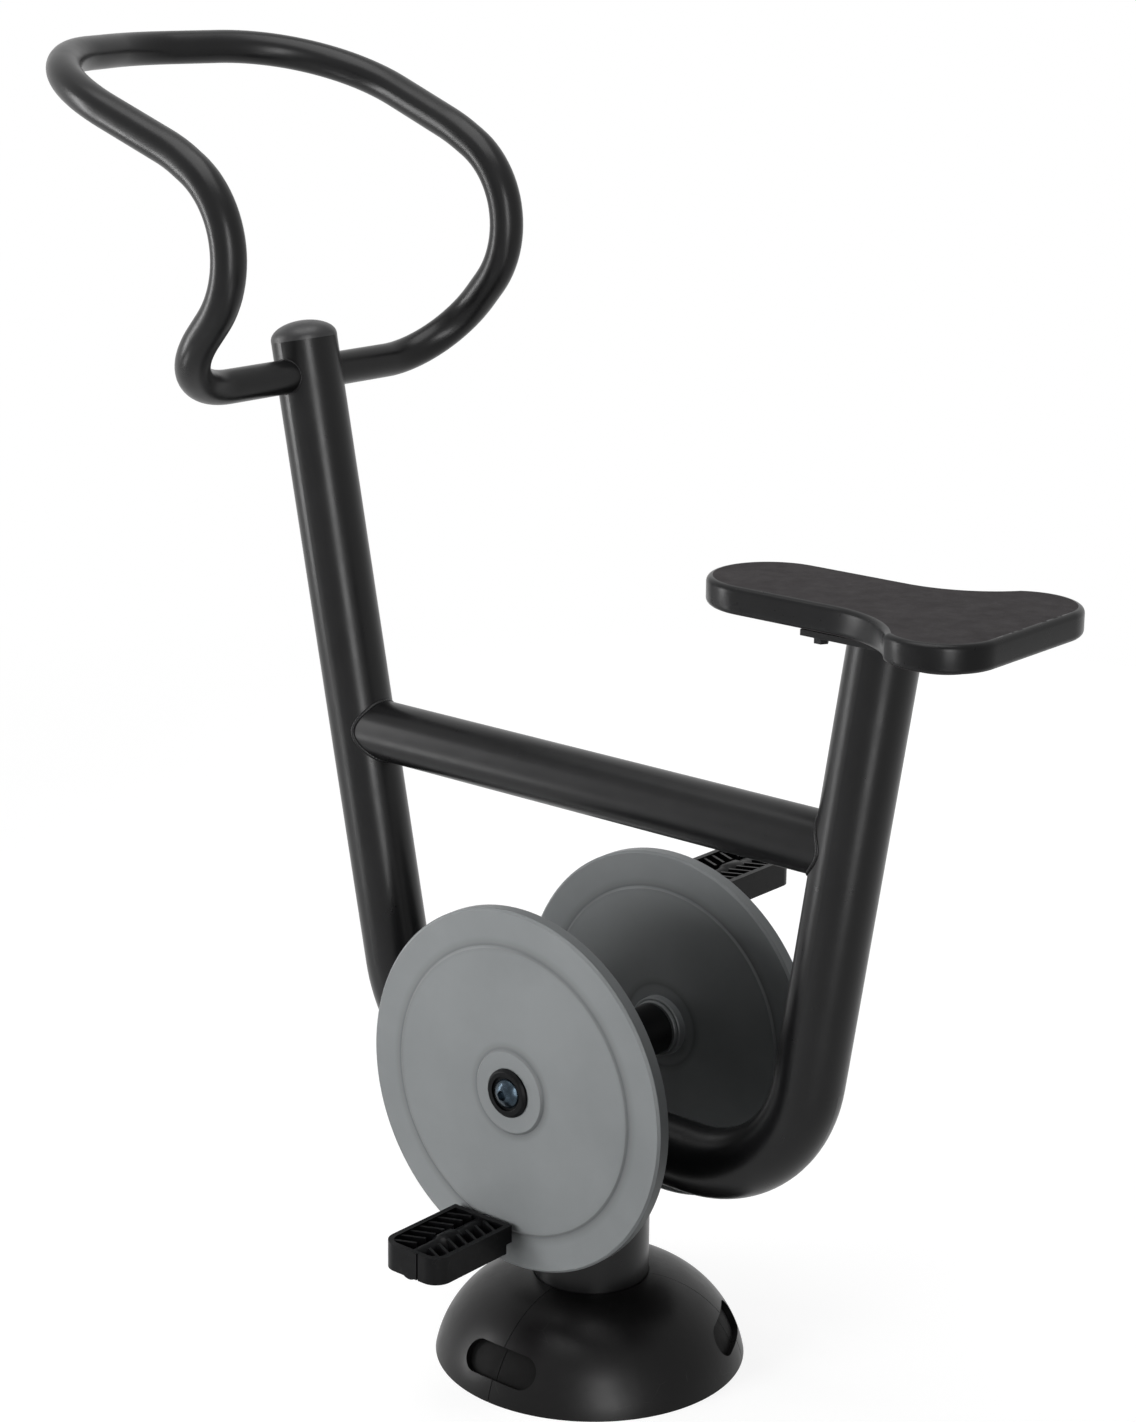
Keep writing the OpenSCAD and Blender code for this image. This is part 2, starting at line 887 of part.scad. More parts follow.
module disc(side) {
  color(disc_grey)
    difference() {
      on_axle(side)
        difference() {
          rotate([-90, 0, 0])
            rotate_extrude()
              disc_section();
          keyway(inner_boss_y - eps, boss_out_y + eps);
        }
      on_pin(side) {
        y_rod(disc_face_y - thread_hole_len, plateau_y + eps, thread_r);
        y_rod(disc_face_y, plateau_y + eps, spot_r);
      }
    }
}

module left_disc() {
  disc(1);
}

module right_disc() {
  disc(-1);
}

module hub_cup(side) {
  color(cover_black)
    on_axle(side)
      difference() {
        union() {
          y_rod(boss_out_y, boss_out_y + cup_h - cup_edge, cup_r);
          y_rod(boss_out_y + cup_h - cup_edge, boss_out_y + cup_h, cup_r, cup_r - cup_edge);
        }
        y_rod(boss_out_y + cup_floor, boss_out_y + cup_h + eps, cup_well_r);
        y_rod(boss_out_y - eps, boss_out_y + cup_h, hub_bolt_r + seat_gap);
      }
}

module left_hub_cup() {
  hub_cup(1);
}

module right_hub_cup() {
  hub_cup(-1);
}

module hub_bolt(side) {
  seat_y = boss_out_y + cup_floor;
  color(steel)
    on_axle(side) {
      y_rod(shaft_end_y - hub_hole_depth + bolt_tip_gap, seat_y, hub_bolt_r);
      difference() {
        intersection() {
          y_rod(seat_y, seat_y + head_h, head_r);
          translate([0, seat_y + head_h - head_sphere_r, 0])
            sphere(head_sphere_r);
        }
        translate([0, seat_y + head_h - socket_depth, 0])
          rotate([-90, 0, 0])
            cylinder(h = socket_depth + eps, r = socket_r, $fn = 6);
      }
    }
}

module left_hub_bolt() {
  hub_bolt(1);
}

module right_hub_bolt() {
  hub_bolt(-1);
}

module spindle(side) {
  color(steel)
    on_pin(side) {
      y_rod(disc_face_y - thread_len, disc_face_y, thread_r - seat_gap);
      difference() {
        y_rod(disc_face_y, disc_face_y + collar_t, collar_r);
        for (s = [-1, 1])
          translate([s * (collar_r - collar_flat + flat_box / 2) - flat_box / 2, disc_face_y + flat_lip,
            -collar_r])
            cube([flat_box, collar_t, 2 * collar_r]);
      }
      y_rod(disc_face_y + collar_t, journal_end_y, journal_r);
      y_rod(journal_end_y, stud_end_y, stud_r);
    }
}

module left_spindle() {
  spindle(1);
}

module right_spindle() {
  spindle(-1);
}

// Pedals, made for the left side around their own spindle axis

// A plan outline with round outer corners, drawn in by a margin
module pedal_plan(inset) {
  w = pedal_w / 2 - inset;
  y0 = pedal_y0 + inset;
  y1 = pedal_y1 - inset;
  r1 = pedal_corner_r - inset;
  translate([-w, y0])
    square([2 * w, y1 - r1 - y0]);
  translate([-w + r1, y0])
    square([2 * (w - r1), y1 - y0]);
  for (s = [-1, 1])
    translate([s * (w - r1), y1 - r1])
      circle(r1);
}

// The slanted ribs between the axle tube and both rails, above and below a middle web
module pedal_ribs() {
  rib_h = pedal_h - 2 * pedal_rib_drop;
  for (s = [-1, 1])
    for (i = [0 : pedal_rib_count - 1])
      translate([s * (axle_tube_r - 2), pedal_rib_y + i * pedal_rib_step, -rib_h / 2])
        rotate([0, 0, s * pedal_rib_turn])
          translate([s > 0 ? 0 : -pedal_w / 2, 0, 0])
            cube([pedal_w / 2, pedal_rib_t, rib_h]);
  translate([-pedal_w / 2, pedal_y0 + pedal_wall / 2, -pedal_web_t / 2])
    cube([pedal_w, pedal_len - pedal_wall, pedal_web_t]);
}

module pedal(side) {
  half_h = pedal_h / 2;
  color(pedal_black)
    on_pin(side)
      difference() {
        union() {
          translate([0, 0, -half_h])
            linear_extrude(pedal_h)
              difference() {
                pedal_plan(0);
                pedal_plan(pedal_wall);
              }
          intersection() {
            pedal_ribs();
            translate([0, 0, -half_h])
              linear_extrude(pedal_h)
                pedal_plan(1);
          }
          y_rod(pedal_y0, pedal_y1 - 1, axle_tube_r);
          y_rod(bulge_y, bulge_y + bulge_taper, axle_tube_r, axle_bulge_r);
          y_rod(bulge_y + bulge_taper, bulge_y + bulge_len - bulge_taper, axle_bulge_r);
          y_rod(bulge_y + bulge_len - bulge_taper, bulge_y + bulge_len, axle_bulge_r, axle_tube_r);
          translate([0, 0, -end_boss_drop])
            y_rod(pedal_y1 - end_boss_len, pedal_y1, end_boss_r);
        }
        for (s = [-1, 1])
          translate([s * pedal_w / 2 - notch_w, pedal_y0 - eps, -half_h - eps])
            cube([2 * notch_w, notch_len + eps, notch_h + eps]);
        y_rod(pedal_y0 - eps, pedal_y0 + bush_len, bush_r);
        y_rod(pedal_y0 - eps, pedal_y1, pedal_mid_r);
        y_rod(bush2_y0, pedal_y1, bush_r);
        y_rod(bush2_y1, pedal_y1 + eps, end_well_r);
        translate([-pedal_groove_x - pedal_groove_w, pedal_y1 - pedal_groove_depth, -half_h - eps])
          cube([pedal_groove_w, pedal_groove_depth + eps, pedal_h + 2 * eps]);
      }
}

module left_pedal() {
  pedal(1);
}

module right_pedal() {
  pedal(-1);
}

module pedal_bushes(side) {
  color(steel)
    on_pin(side)
      difference() {
        union() {
          y_rod(disc_face_y + collar_t + slide_gap, pedal_y0, bush_flange_r);
          y_rod(pedal_y0, pedal_y0 + bush_len, bush_r);
          y_rod(bush2_y0, bush2_y1, bush_r);
        }
        y_rod(disc_face_y, bush2_y1 + eps, journal_r + fit_gap);
      }
}

module left_pedal_bushes() {
  pedal_bushes(1);
}

module right_pedal_bushes() {
  pedal_bushes(-1);
}

module pedal_lock(side) {
  nut_y = journal_end_y + lock_washer_t;
  color(steel)
    on_pin(side)
      difference() {
        union() {
          y_rod(journal_end_y, nut_y, lock_washer_r);
          translate([0, nut_y, 0])
            rotate([-90, 0, 0])
              cylinder(h = lock_nut_h, r = lock_nut_r, $fn = 6);
        }
        y_rod(journal_end_y - eps, nut_y + lock_nut_h + eps, stud_r);
      }
}

module left_pedal_lock() {
  pedal_lock(1);
}

module right_pedal_lock() {
  pedal_lock(-1);
}

module pedal_plug(side) {
  color(rubber_black)
    on_pin(side)
      y_rod(pedal_y1 - plug_depth, pedal_y1, end_well_r);
}

module left_pedal_plug() {
  pedal_plug(1);
}

module right_pedal_plug() {
  pedal_plug(-1);
}

base_flange();
base_ribs();
ground_post();
post_lid();
cover_left();
cover_front();
cover_rear();
lower_tube();
front_post();
seat_tube();
cross_tube();
handlebar();
post_cap();
axle_cradle();
axle_housing();
bearing_outer_rings();
bearing_seals();
retaining_rings();
saddle_plate();
saddle();
saddle_bolts();
saddle_washers();
axle_shaft();
bearing_inner_rings();
bearing_balls();
axle_spacers();
left_disc();
right_disc();
disc_keys();
left_hub_cup();
right_hub_cup();
left_hub_bolt();
right_hub_bolt();
left_spindle();
right_spindle();
left_pedal();
right_pedal();
left_pedal_bushes();
right_pedal_bushes();
left_pedal_lock();
right_pedal_lock();
left_pedal_plug();
right_pedal_plug();
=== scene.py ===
"""Outdoor exercise bike: the looks of a park pedalling machine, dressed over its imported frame.

Metres. +X is forward, +Y is the rider's left, +Z is up, and the origin is the centre of the
foot on the ground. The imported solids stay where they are. A smooth loop stands for the
handlebar and a rounded slab for the saddle. Copies with softened edges stand for the discs,
pedals, covers, plates and turned pieces, and weld beads join the tubes.
"""

import logging
from dataclasses import dataclass, field
from enum import Enum
from math import cos, pi, radians, sin, tan

import bmesh
import bpy
import numpy as np
from mathutils import Matrix, Vector


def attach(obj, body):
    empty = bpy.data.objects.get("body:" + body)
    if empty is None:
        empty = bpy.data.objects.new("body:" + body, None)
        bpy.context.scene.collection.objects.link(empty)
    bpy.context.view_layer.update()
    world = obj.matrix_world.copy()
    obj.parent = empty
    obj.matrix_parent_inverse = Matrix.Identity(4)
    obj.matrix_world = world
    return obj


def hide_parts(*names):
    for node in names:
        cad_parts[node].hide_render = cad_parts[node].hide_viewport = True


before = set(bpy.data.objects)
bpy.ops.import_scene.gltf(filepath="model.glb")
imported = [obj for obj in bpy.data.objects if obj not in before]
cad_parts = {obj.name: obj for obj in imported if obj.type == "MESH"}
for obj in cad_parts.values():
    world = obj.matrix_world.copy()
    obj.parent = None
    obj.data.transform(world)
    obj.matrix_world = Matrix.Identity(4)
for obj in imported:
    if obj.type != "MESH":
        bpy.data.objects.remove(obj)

LOG = logging.getLogger("outdoor_bike")
MM = 0.001
HUB_Z = 325 * MM
WHITE = (1.0, 1.0, 1.0, 1.0)

Rgb = tuple[float, float, float]
Node = bpy.types.Node
Socket = bpy.types.NodeSocket
Inputs = dict[str | int, object]


class Body(Enum):
    """The rigid bodies that pieces ride on."""

    FRAME = "frame"
    CRANK = "crank"
    LEFT_PEDAL = "left_pedal"
    RIGHT_PEDAL = "right_pedal"


class Side(Enum):
    """The rider's left or right, as a sign on the Y axis."""

    LEFT = 1
    RIGHT = -1


class Share(Enum):
    """The share of a surface's light that a lamp gives: the matt one, the gloss or both."""

    BOTH = "both"
    MATT = "matt"
    GLOSS = "gloss"


def linear(value: float) -> float:
    """One sRGB channel from 0 to 255 as linear light: the standard gamma curve."""
    c = value / 255
    return c / 12.92 if c <= 0.04045 else ((c + 0.055) / 1.055) ** 2.4


def paint(rgb: Rgb) -> tuple[float, ...]:
    """An sRGB triple from 0 to 255 as Blender's linear colour with full alpha."""
    return (*(linear(value) for value in rgb), 1.0)


@dataclass
class Graph:
    """The node tree of a material or of the world, with a short call for each step that repeats."""

    tree: bpy.types.NodeTree

    def feed(self, node: Node, inputs: Inputs) -> None:
        """Link a node's inputs to the outputs given, and set the others to the constants given.

        Args:
            node: The node.
            inputs: An output of another node or a constant for each input, by name or number.
        """
        for key, value in inputs.items():
            if isinstance(value, Socket):
                self.tree.links.new(value, node.inputs[key])
            else:
                node.inputs[key].default_value = value

    def add(self, kind: str, inputs: Inputs | None = None, **choices: str) -> Node:
        """A new node. Its choices are made before its inputs are fed, as they decide on those.

        Args:
            kind: Type of the node.
            inputs: As in feed.
            choices: Options of the node itself, such as its operation.

        Returns:
            The node.
        """
        node = self.tree.nodes.new(kind)
        for name, choice in choices.items():
            setattr(node, name, choice)
        self.feed(node, inputs or {})
        return node

    def noise(self, place: Socket, size_mm: float, detail: float, rough: float = 0.55) -> Socket:
        """A cloudy pattern from 0 to 1.

        Args:
            place: The coordinates that it reads.
            size_mm: Width of a blotch, roughly.
            detail: Number of finer layers.
            rough: Strength of each finer layer against the one before it.

        Returns:
            The pattern.
        """
        inputs = {"Vector": place, "Scale": 1.0 / (size_mm * MM), "Detail": detail, "Roughness": rough}
        return self.add("ShaderNodeTexNoise", inputs).outputs["Fac"]

    def relief(self, height: Socket, height_mm: float, under: Socket | None = None) -> Socket:
        """A normal bent by a height pattern.

        Args:
            height: The pattern.
            height_mm: Height where the pattern is 1.
            under: The relief that it lies on, if there is one.

        Returns:
            The normal.
        """
        bump = self.add("ShaderNodeBump", {"Height": height, "Strength": 1.0, "Distance": height_mm * MM})
        if under is not None:
            self.feed(bump, {"Normal": under})
        return bump.outputs["Normal"]

    def tinted(self, colour: Socket, rgb: Rgb, amount: Socket) -> Socket:
        """A colour mixed with a plain one.

        Args:
            colour: The colour under it.
            rgb: The plain colour, in sRGB from 0 to 255.
            amount: Share of the plain colour.

        Returns:
            The mixed colour.
        """
        inputs = {"Factor": amount, "A": colour, "B": paint(rgb)}
        return self.add("ShaderNodeMix", inputs, data_type="RGBA").outputs["Result"]

    def seen(self) -> Socket:
        """Which rays see the studio, rather than being lit by it.

        Returns:
            1 for rays from the camera, in reflections and through glass, and 0 for light.
        """
        path = self.add("ShaderNodeLightPath")
        total = path.outputs["Is Camera Ray"]
        for other in ("Is Glossy Ray", "Is Transmission Ray"):
            either = self.add("ShaderNodeMath", {0: total, 1: path.outputs[other]}, operation="MAXIMUM")
            total = either.outputs["Value"]
        return total


@dataclass(frozen=True)
class Finish:
    """A painted, moulded or plated surface, as its colour, gloss and fine relief."""

    name: str
    slot: str
    dark: Rgb
    light: Rgb
    rough_low: float
    rough_high: float
    specular: float = 0.5
    metallic: float = 0.0
    tone_mm: float = 60.0
    peel_mm: float = 1.6
    peel_height_mm: float = 0.02
    grain_mm: float = 0.0
    grain_height_mm: float = 0.0
    scuff: float = 0.0
    scuff_mm: float = 26.0
    # Rings of painted shade about the hub: radius and half width in mm for each, and the shade's share at
    # their middle.
    shade_rings: tuple[tuple[float, float], ...] = ()
    shade_ring_depth: float = 0.0
    # Alike for all: the stretch of noise that the tone and the gloss each spread over, and the
    # width of the gloss's blotches against the tone's.
    tone_span: tuple[float, float] = (0.36, 0.66)
    gloss_span: tuple[float, float] = (0.3, 0.7)
    gloss_to_tone: float = 0.35
    # Alike for all scuffs: scales of the warp and the patches against the cells', half the width
    # of a scuff in cells, the stretch of noise over which a patch sets in, and the colour.
    warp_scale: float = 0.6
    patch_scale: float = 0.8
    scuff_line: float = 0.012
    scuff_patch: tuple[float, float] = (0.55, 0.66)
    scuff_pale: Rgb = (118, 118, 116)
    # The colour of the painted shade in those rings.
    shade_rgb: Rgb = (22, 22, 22)

    def scuffed(self, graph: Graph, place: Socket, colour: Socket) -> Socket:
        """Fine pale scuffs over a colour: thin walls of warped cells, kept in a few patches.

        Args:
            graph: The material's node tree.
            place: The object coordinates.
            colour: The colour under the scuffs.

        Returns:
            The colour with its scuffs.
        """
        cell = self.scuff_mm * MM
        warp = graph.add("ShaderNodeTexNoise", {"Vector": place, "Scale": self.warp_scale / cell})
        moved = graph.add("ShaderNodeVectorMath", {0: warp.outputs["Color"], 1: (cell,) * 3, 2: place},
                          operation="MULTIPLY_ADD")
        cells = graph.add("ShaderNodeTexVoronoi", {"Vector": moved.outputs["Vector"], "Scale": 1.0 / cell},
                          feature="DISTANCE_TO_EDGE")
        line = graph.add("ShaderNodeMapRange", {
            "Value": cells.outputs["Distance"], "From Max": self.scuff_line,
            "To Min": self.scuff, "To Max": 0.0})
        patch = graph.add("ShaderNodeTexNoise", {"Vector": place, "Scale": self.patch_scale / cell})
        some = graph.add("ShaderNodeMapRange", {
            "Value": patch.outputs["Fac"], "From Min": self.scuff_patch[0],
            "From Max": self.scuff_patch[1]})
        amount = graph.add("ShaderNodeMath", {0: line.outputs["Result"], 1: some.outputs["Result"]},
                           operation="MULTIPLY")
        return graph.tinted(colour, self.scuff_pale, amount.outputs["Value"])

    def shade_ringed(self, graph: Graph, place: Socket, colour: Socket) -> Socket:
        """Painted shade at the steps of a turned part: dark rings about the hub that fade away from r0.

        The painted shade's share falls smoothly from shade_ring_depth at r = r0 to nothing at |r - r0| = w.

        Args:
            graph: The material's node tree.
            place: The object coordinates.
            colour: The colour under the painted shade.

        Returns:
            The colour with its rings of painted shade.
        """
        offset = graph.add("ShaderNodeVectorMath", {0: place, 1: (0, 0, HUB_Z)}, operation="SUBTRACT")
        flat = graph.add("ShaderNodeVectorMath", {0: offset.outputs["Vector"], 1: (1, 0, 1)},
                         operation="MULTIPLY")
        reach = graph.add("ShaderNodeVectorMath", {0: flat.outputs["Vector"]}, operation="LENGTH")
        for radius_mm, half_mm in self.shade_rings:
            away = graph.add("ShaderNodeMath", {0: reach.outputs["Value"], 1: radius_mm * MM},
                             operation="SUBTRACT")
            size = graph.add("ShaderNodeMath", {0: away.outputs["Value"]}, operation="ABSOLUTE")
            fade = graph.add("ShaderNodeMapRange", {
                "Value": size.outputs["Value"], "From Max": half_mm * MM,
                "To Min": self.shade_ring_depth, "To Max": 0.0}, interpolation_type="SMOOTHSTEP")
            colour = graph.tinted(colour, self.shade_rgb, fade.outputs["Result"])
        return colour

    def toned(self, graph: Graph, place: Socket) -> Socket:
        """The colour: cloudy noise mixes the dark and the light one, under scuffs and rings of painted
        shade.

        Args:
            graph: The material's node tree.
            place: The object coordinates.

        Returns:
            The colour.
        """
        ramp = graph.add("ShaderNodeValToRGB", {"Fac": graph.noise(place, self.tone_mm, detail=4.0)})
        for stop, at, rgb in zip(ramp.color_ramp.elements, self.tone_span, (self.dark, self.light)):
            stop.position = at
            stop.color = paint(rgb)
        colour = ramp.outputs["Color"]
        if self.scuff > 0:
            colour = self.scuffed(graph, place, colour)
        if self.shade_rings:
            colour = self.shade_ringed(graph, place, colour)
        return colour

    def material(self) -> bpy.types.Material:
        """The finish as a node material, made once and then shared.

        Gloss: a finer noise than the tone's maps to the roughness range. Relief: orange peel
        and grain add up in one bump chain.

        Returns:
            The Blender material.
        """
        known = bpy.data.materials.get(self.name)
        if known is not None:
            return known
        mat = bpy.data.materials.new(self.name)
        mat.use_nodes = True
        graph = Graph(mat.node_tree)
        place = graph.add("ShaderNodeTexCoord").outputs["Object"]
        colour = self.toned(graph, place)
        gloss = graph.add("ShaderNodeMapRange", {
            "Value": graph.noise(place, self.tone_mm * self.gloss_to_tone, detail=5.0, rough=0.65),
            "From Min": self.gloss_span[0], "From Max": self.gloss_span[1],
            "To Min": self.rough_low, "To Max": self.rough_high})
        normal = graph.relief(graph.noise(place, self.peel_mm, detail=2.0), self.peel_height_mm)
        if self.grain_mm > 0:
            cells = graph.add("ShaderNodeTexVoronoi", {"Vector": place, "Scale": 1.0 / (self.grain_mm * MM)},
                              feature="SMOOTH_F1")
            normal = graph.relief(cells.outputs["Distance"], self.grain_height_mm, normal)
        graph.feed(mat.node_tree.nodes["Principled BSDF"], {
            "Base Color": colour, "Metallic": self.metallic, "Specular IOR Level": self.specular,
            "Roughness": gloss.outputs["Result"], "Normal": normal})
        return mat


POWDER_BLACK = Finish("powder_coat_black", "powder_black", (8, 8, 9), (14, 14, 15), 0.27, 0.35,
                      specular=0.23, tone_mm=90, peel_mm=1.8, peel_height_mm=0.03)
COVER_BLACK = Finish("moulded_cover_black", "cover_black", (6, 6, 6), (10, 9, 10), 0.32, 0.4,
                     specular=0.16, tone_mm=70, peel_mm=0.9, peel_height_mm=0.02,
                     grain_mm=0.7, grain_height_mm=0.03, scuff=0.07)
WASHER_BLACK = Finish("blackened_washer", "cover_black", (6, 7, 8), (10, 11, 12), 0.32, 0.42,
                      specular=0.08, tone_mm=20, peel_mm=0.8, peel_height_mm=0.015)
RECESS_BLACK = Finish("moulded_recess_black", "cover_black", (7, 7, 7), (11, 11, 11), 0.6, 0.7,
                      specular=0.08, tone_mm=20, peel_mm=0.9, peel_height_mm=0.02,
                      grain_mm=0.7, grain_height_mm=0.03)
CAP_GREY = Finish("moulded_cap_grey", "cover_black", (34, 34, 35), (46, 46, 47), 0.38, 0.48,
                  specular=0.4, tone_mm=25, peel_mm=0.8, peel_height_mm=0.02,
                  grain_mm=0.6, grain_height_mm=0.03)
# Skin and side are one slab of one moulding: the skin's lighter colour is painted light from above and the
# side's darker colour painted shade, while the side's higher gloss and the skin's grain are its own.
SEAT_SKIN = Finish("saddle_skin", "seat_black", (45, 42, 43), (51, 48, 49), 0.58, 0.7,
                   specular=0.06, tone_mm=45, peel_mm=2.5, peel_height_mm=0.05,
                   grain_mm=1.1, grain_height_mm=0.09)
SEAT_EDGE = Finish("saddle_edge", "seat_black", (15, 15, 16), (20, 20, 21), 0.26, 0.34,
                   specular=0.15, tone_mm=45, peel_mm=4, peel_height_mm=0.012)
PEDAL_BLACK = Finish("pedal_nylon", "pedal_black", (6, 6, 7), (12, 12, 13), 0.3, 0.42,
                     specular=0.1, tone_mm=18, peel_mm=0.8, peel_height_mm=0.02,
                     grain_mm=0.9, grain_height_mm=0.03, scuff=0.1, scuff_mm=14)
# The dark rings at the step of the disc's face and round its hub boss are painted shade.
DISC_GREY = Finish("powder_coat_grey", "disc_grey", (112, 115, 116), (119, 122, 123), 0.38, 0.48,
                   specular=0.2, tone_mm=120, peel_mm=1.5, peel_height_mm=0.025,
                   shade_rings=((149.4, 3.2), (150.5, 9), (44.6, 2.6), (46, 7)), shade_ring_depth=0.2)
ZINC = Finish("zinc_plate", "steel", (150, 152, 156), (176, 178, 182), 0.28, 0.42, metallic=1.0,
              tone_mm=12, peel_mm=0.6, peel_height_mm=0.01)
BLUED = Finish("blued_bolt_steel", "steel", (38, 48, 56), (56, 68, 78), 0.2, 0.34, metallic=0.85,
               tone_mm=9, peel_mm=0.7, peel_height_mm=0.008)
BUSH_BRONZE = Finish("sintered_bronze", "brass", (140, 112, 66), (164, 134, 84), 0.35, 0.5,
                     metallic=1.0, tone_mm=6, peel_mm=0.5, peel_height_mm=0.01)
DARK_BOLT = Finish("black_oxide_steel", "steel", (16, 17, 18), (26, 27, 29), 0.4, 0.55,
                   specular=0.2, tone_mm=9, peel_mm=0.7, peel_height_mm=0.008)
SEAL_RUBBER = Finish("seal_rubber", "rubber_black", (16, 16, 16), (24, 24, 24), 0.55, 0.7,
                     tone_mm=8, peel_mm=0.6, peel_height_mm=0.02)
FLOOR_PALE = Finish("studio_floor", "powder_black", (132, 132, 132), (137, 137, 137), 0.8, 0.9,
                    specular=0.2, tone_mm=900, peel_mm=6, peel_height_mm=0.02)

NODE_FINISH: dict[str, Finish] = {
    "base_flange": POWDER_BLACK, "base_ribs": POWDER_BLACK, "ground_post": POWDER_BLACK,
    "post_lid": POWDER_BLACK, "lower_tube": POWDER_BLACK, "front_post": POWDER_BLACK,
    "seat_tube": POWDER_BLACK, "cross_tube": POWDER_BLACK, "handlebar": POWDER_BLACK,
    "axle_cradle": POWDER_BLACK, "axle_housing": POWDER_BLACK, "saddle_plate": POWDER_BLACK,
    "cover_left": COVER_BLACK, "cover_front": COVER_BLACK, "cover_rear": COVER_BLACK,
    "post_cap": CAP_GREY, "saddle": SEAT_SKIN,
    "left_disc": DISC_GREY, "right_disc": DISC_GREY,
    "left_hub_cup": WASHER_BLACK, "right_hub_cup": WASHER_BLACK,
    "left_hub_bolt": BLUED, "right_hub_bolt": BLUED,
    "left_pedal": PEDAL_BLACK, "right_pedal": PEDAL_BLACK,
    "left_pedal_bushes": BUSH_BRONZE, "right_pedal_bushes": BUSH_BRONZE,
    "left_pedal_plug": PEDAL_BLACK, "right_pedal_plug": PEDAL_BLACK,
    "bearing_seals": SEAL_RUBBER, "saddle_bolts": DARK_BOLT, "saddle_washers": DARK_BOLT,
}

SOFT_EDGES: dict[str, tuple[Body, float]] = {
    "left_disc": (Body.CRANK, 1.1), "right_disc": (Body.CRANK, 1.1),
    "left_hub_cup": (Body.CRANK, 0.6), "right_hub_cup": (Body.CRANK, 0.6),
    "left_spindle": (Body.CRANK, 0.4), "right_spindle": (Body.CRANK, 0.4),
    "left_pedal": (Body.LEFT_PEDAL, 0.5), "right_pedal": (Body.RIGHT_PEDAL, 0.5),
    "cover_left": (Body.FRAME, 0.8), "cover_front": (Body.FRAME, 0.8), "cover_rear": (Body.FRAME, 0.8),
    "axle_cradle": (Body.FRAME, 0.8), "axle_housing": (Body.FRAME, 0.6),
    "saddle_plate": (Body.FRAME, 0.8), "post_lid": (Body.FRAME, 0.6),
}


def new_object(name: str, data: bpy.types.ID) -> bpy.types.Object:
    """Put a mesh, a lamp or a camera into the scene, at the origin.

    Args:
        name: Name of the object.
        data: What the object shows.

    Returns:
        The new object.
    """
    obj = bpy.data.objects.new(name, data)
    bpy.context.scene.collection.objects.link(obj)
    return obj


def face_array(rows: int, cols: int, close_u: bool, close_v: bool) -> np.ndarray:
    """Quads of a grid whose point (i, j) has number i * cols + j, wrapped where a side closes.

    Args:
        rows: Number of points along the first parameter.
        cols: Number of points along the second parameter.
        close_u: The last row joins the first.
        close_v: The last column joins the first.

    Returns:
        An array of four point numbers a face.
    """
    i, j = np.meshgrid(np.arange(rows if close_u else rows - 1),
                       np.arange(cols if close_v else cols - 1), indexing="ij")
    i2, j2 = (i + 1) % rows, (j + 1) % cols
    return np.stack([i * cols + j, i2 * cols + j, i2 * cols + j2, i * cols + j2], axis=-1).reshape(-1, 4)


def make_piece(name: str, points: np.ndarray, faces: list[np.ndarray], finish: Finish,
               body: Body, smooth_deg: float) -> bpy.types.Object:
    """Put points and faces into a mesh object that rides on a body.

    Args:
        name: Name of the piece.
        points: Places of the points, one row each, in metres.
        faces: Arrays of point numbers, each with one number of corners.
        finish: The surface finish.
        body: The body that it rides on.
        smooth_deg: Edges sharper than this stay sharp.

    Returns:
        The new object, at the origin.
    """
    mesh = bpy.data.meshes.new(name)
    mesh.from_pydata(points.tolist(), [], [f for part in faces for f in part.tolist()])
    mesh.validate()
    mesh.update()
    obj = new_object(name, mesh)
    mesh.materials.append(finish.material())
    mesh.shade_smooth()
    mesh.set_sharp_from_angle(angle=radians(smooth_deg))
    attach(obj, body.value)
    LOG.info("%s: %d points, %d faces", name, len(mesh.vertices), len(mesh.polygons))
    return obj


def weld_points(obj: bpy.types.Object, distance: float = 0.02 * MM, flat_deg: float = 0.0) -> None:
    """Merge points that lie on each other and turn every face outwards.

    Args:
        obj: The piece to clean.
        distance: Points closer than this become one.
        flat_deg: Faces that meet at less than this angle join, where it is more than 0.
    """
    bm = bmesh.new()
    bm.from_mesh(obj.data)
    bmesh.ops.remove_doubles(bm, verts=bm.verts, dist=distance)
    bmesh.ops.dissolve_degenerate(bm, edges=bm.edges, dist=distance)
    if flat_deg > 0:
        bmesh.ops.dissolve_limit(bm, angle_limit=radians(flat_deg), verts=bm.verts, edges=bm.edges)
    bmesh.ops.recalc_face_normals(bm, faces=bm.faces)
    bm.to_mesh(obj.data)
    bm.free()
    obj.data.update()


def full_turn(count: int) -> np.ndarray:
    """Angles of count points spaced evenly round a circle."""
    return np.linspace(0, 2 * pi, count, endpoint=False)


def plan_arc(centre: np.ndarray, radius: float, angles: np.ndarray) -> np.ndarray:
    """Points of an arc in plan: centre + R (cos a, sin a).

    Args:
        centre: The arc's centre (x, y).
        radius: Radius of the arc.
        angles: Where the points are.

    Returns:
        Points (x, y), in order.
    """
    return centre + radius * np.stack([np.cos(angles), np.sin(angles)], axis=1)


def tube_frames(path: np.ndarray, closed: bool, guide: np.ndarray) -> tuple[np.ndarray, np.ndarray]:
    """Two unit vectors across a path at each of its points.

    The first is the guide direction with its part along the path taken out, and the second is
    the path's direction crossed with the first.

    Args:
        path: Points along the path.
        closed: The last point joins the first.
        guide: One direction a point that never runs along the path.

    Returns:
        The two arrays of unit vectors.
    """
    if closed:
        along = np.roll(path, -1, axis=0) - np.roll(path, 1, axis=0)
    else:
        along = np.gradient(path, axis=0)
    along /= np.linalg.norm(along, axis=1, keepdims=True)
    a = guide - along * np.sum(guide * along, axis=1, keepdims=True)
    a /= np.linalg.norm(a, axis=1, keepdims=True)
    return a, np.cross(along, a)


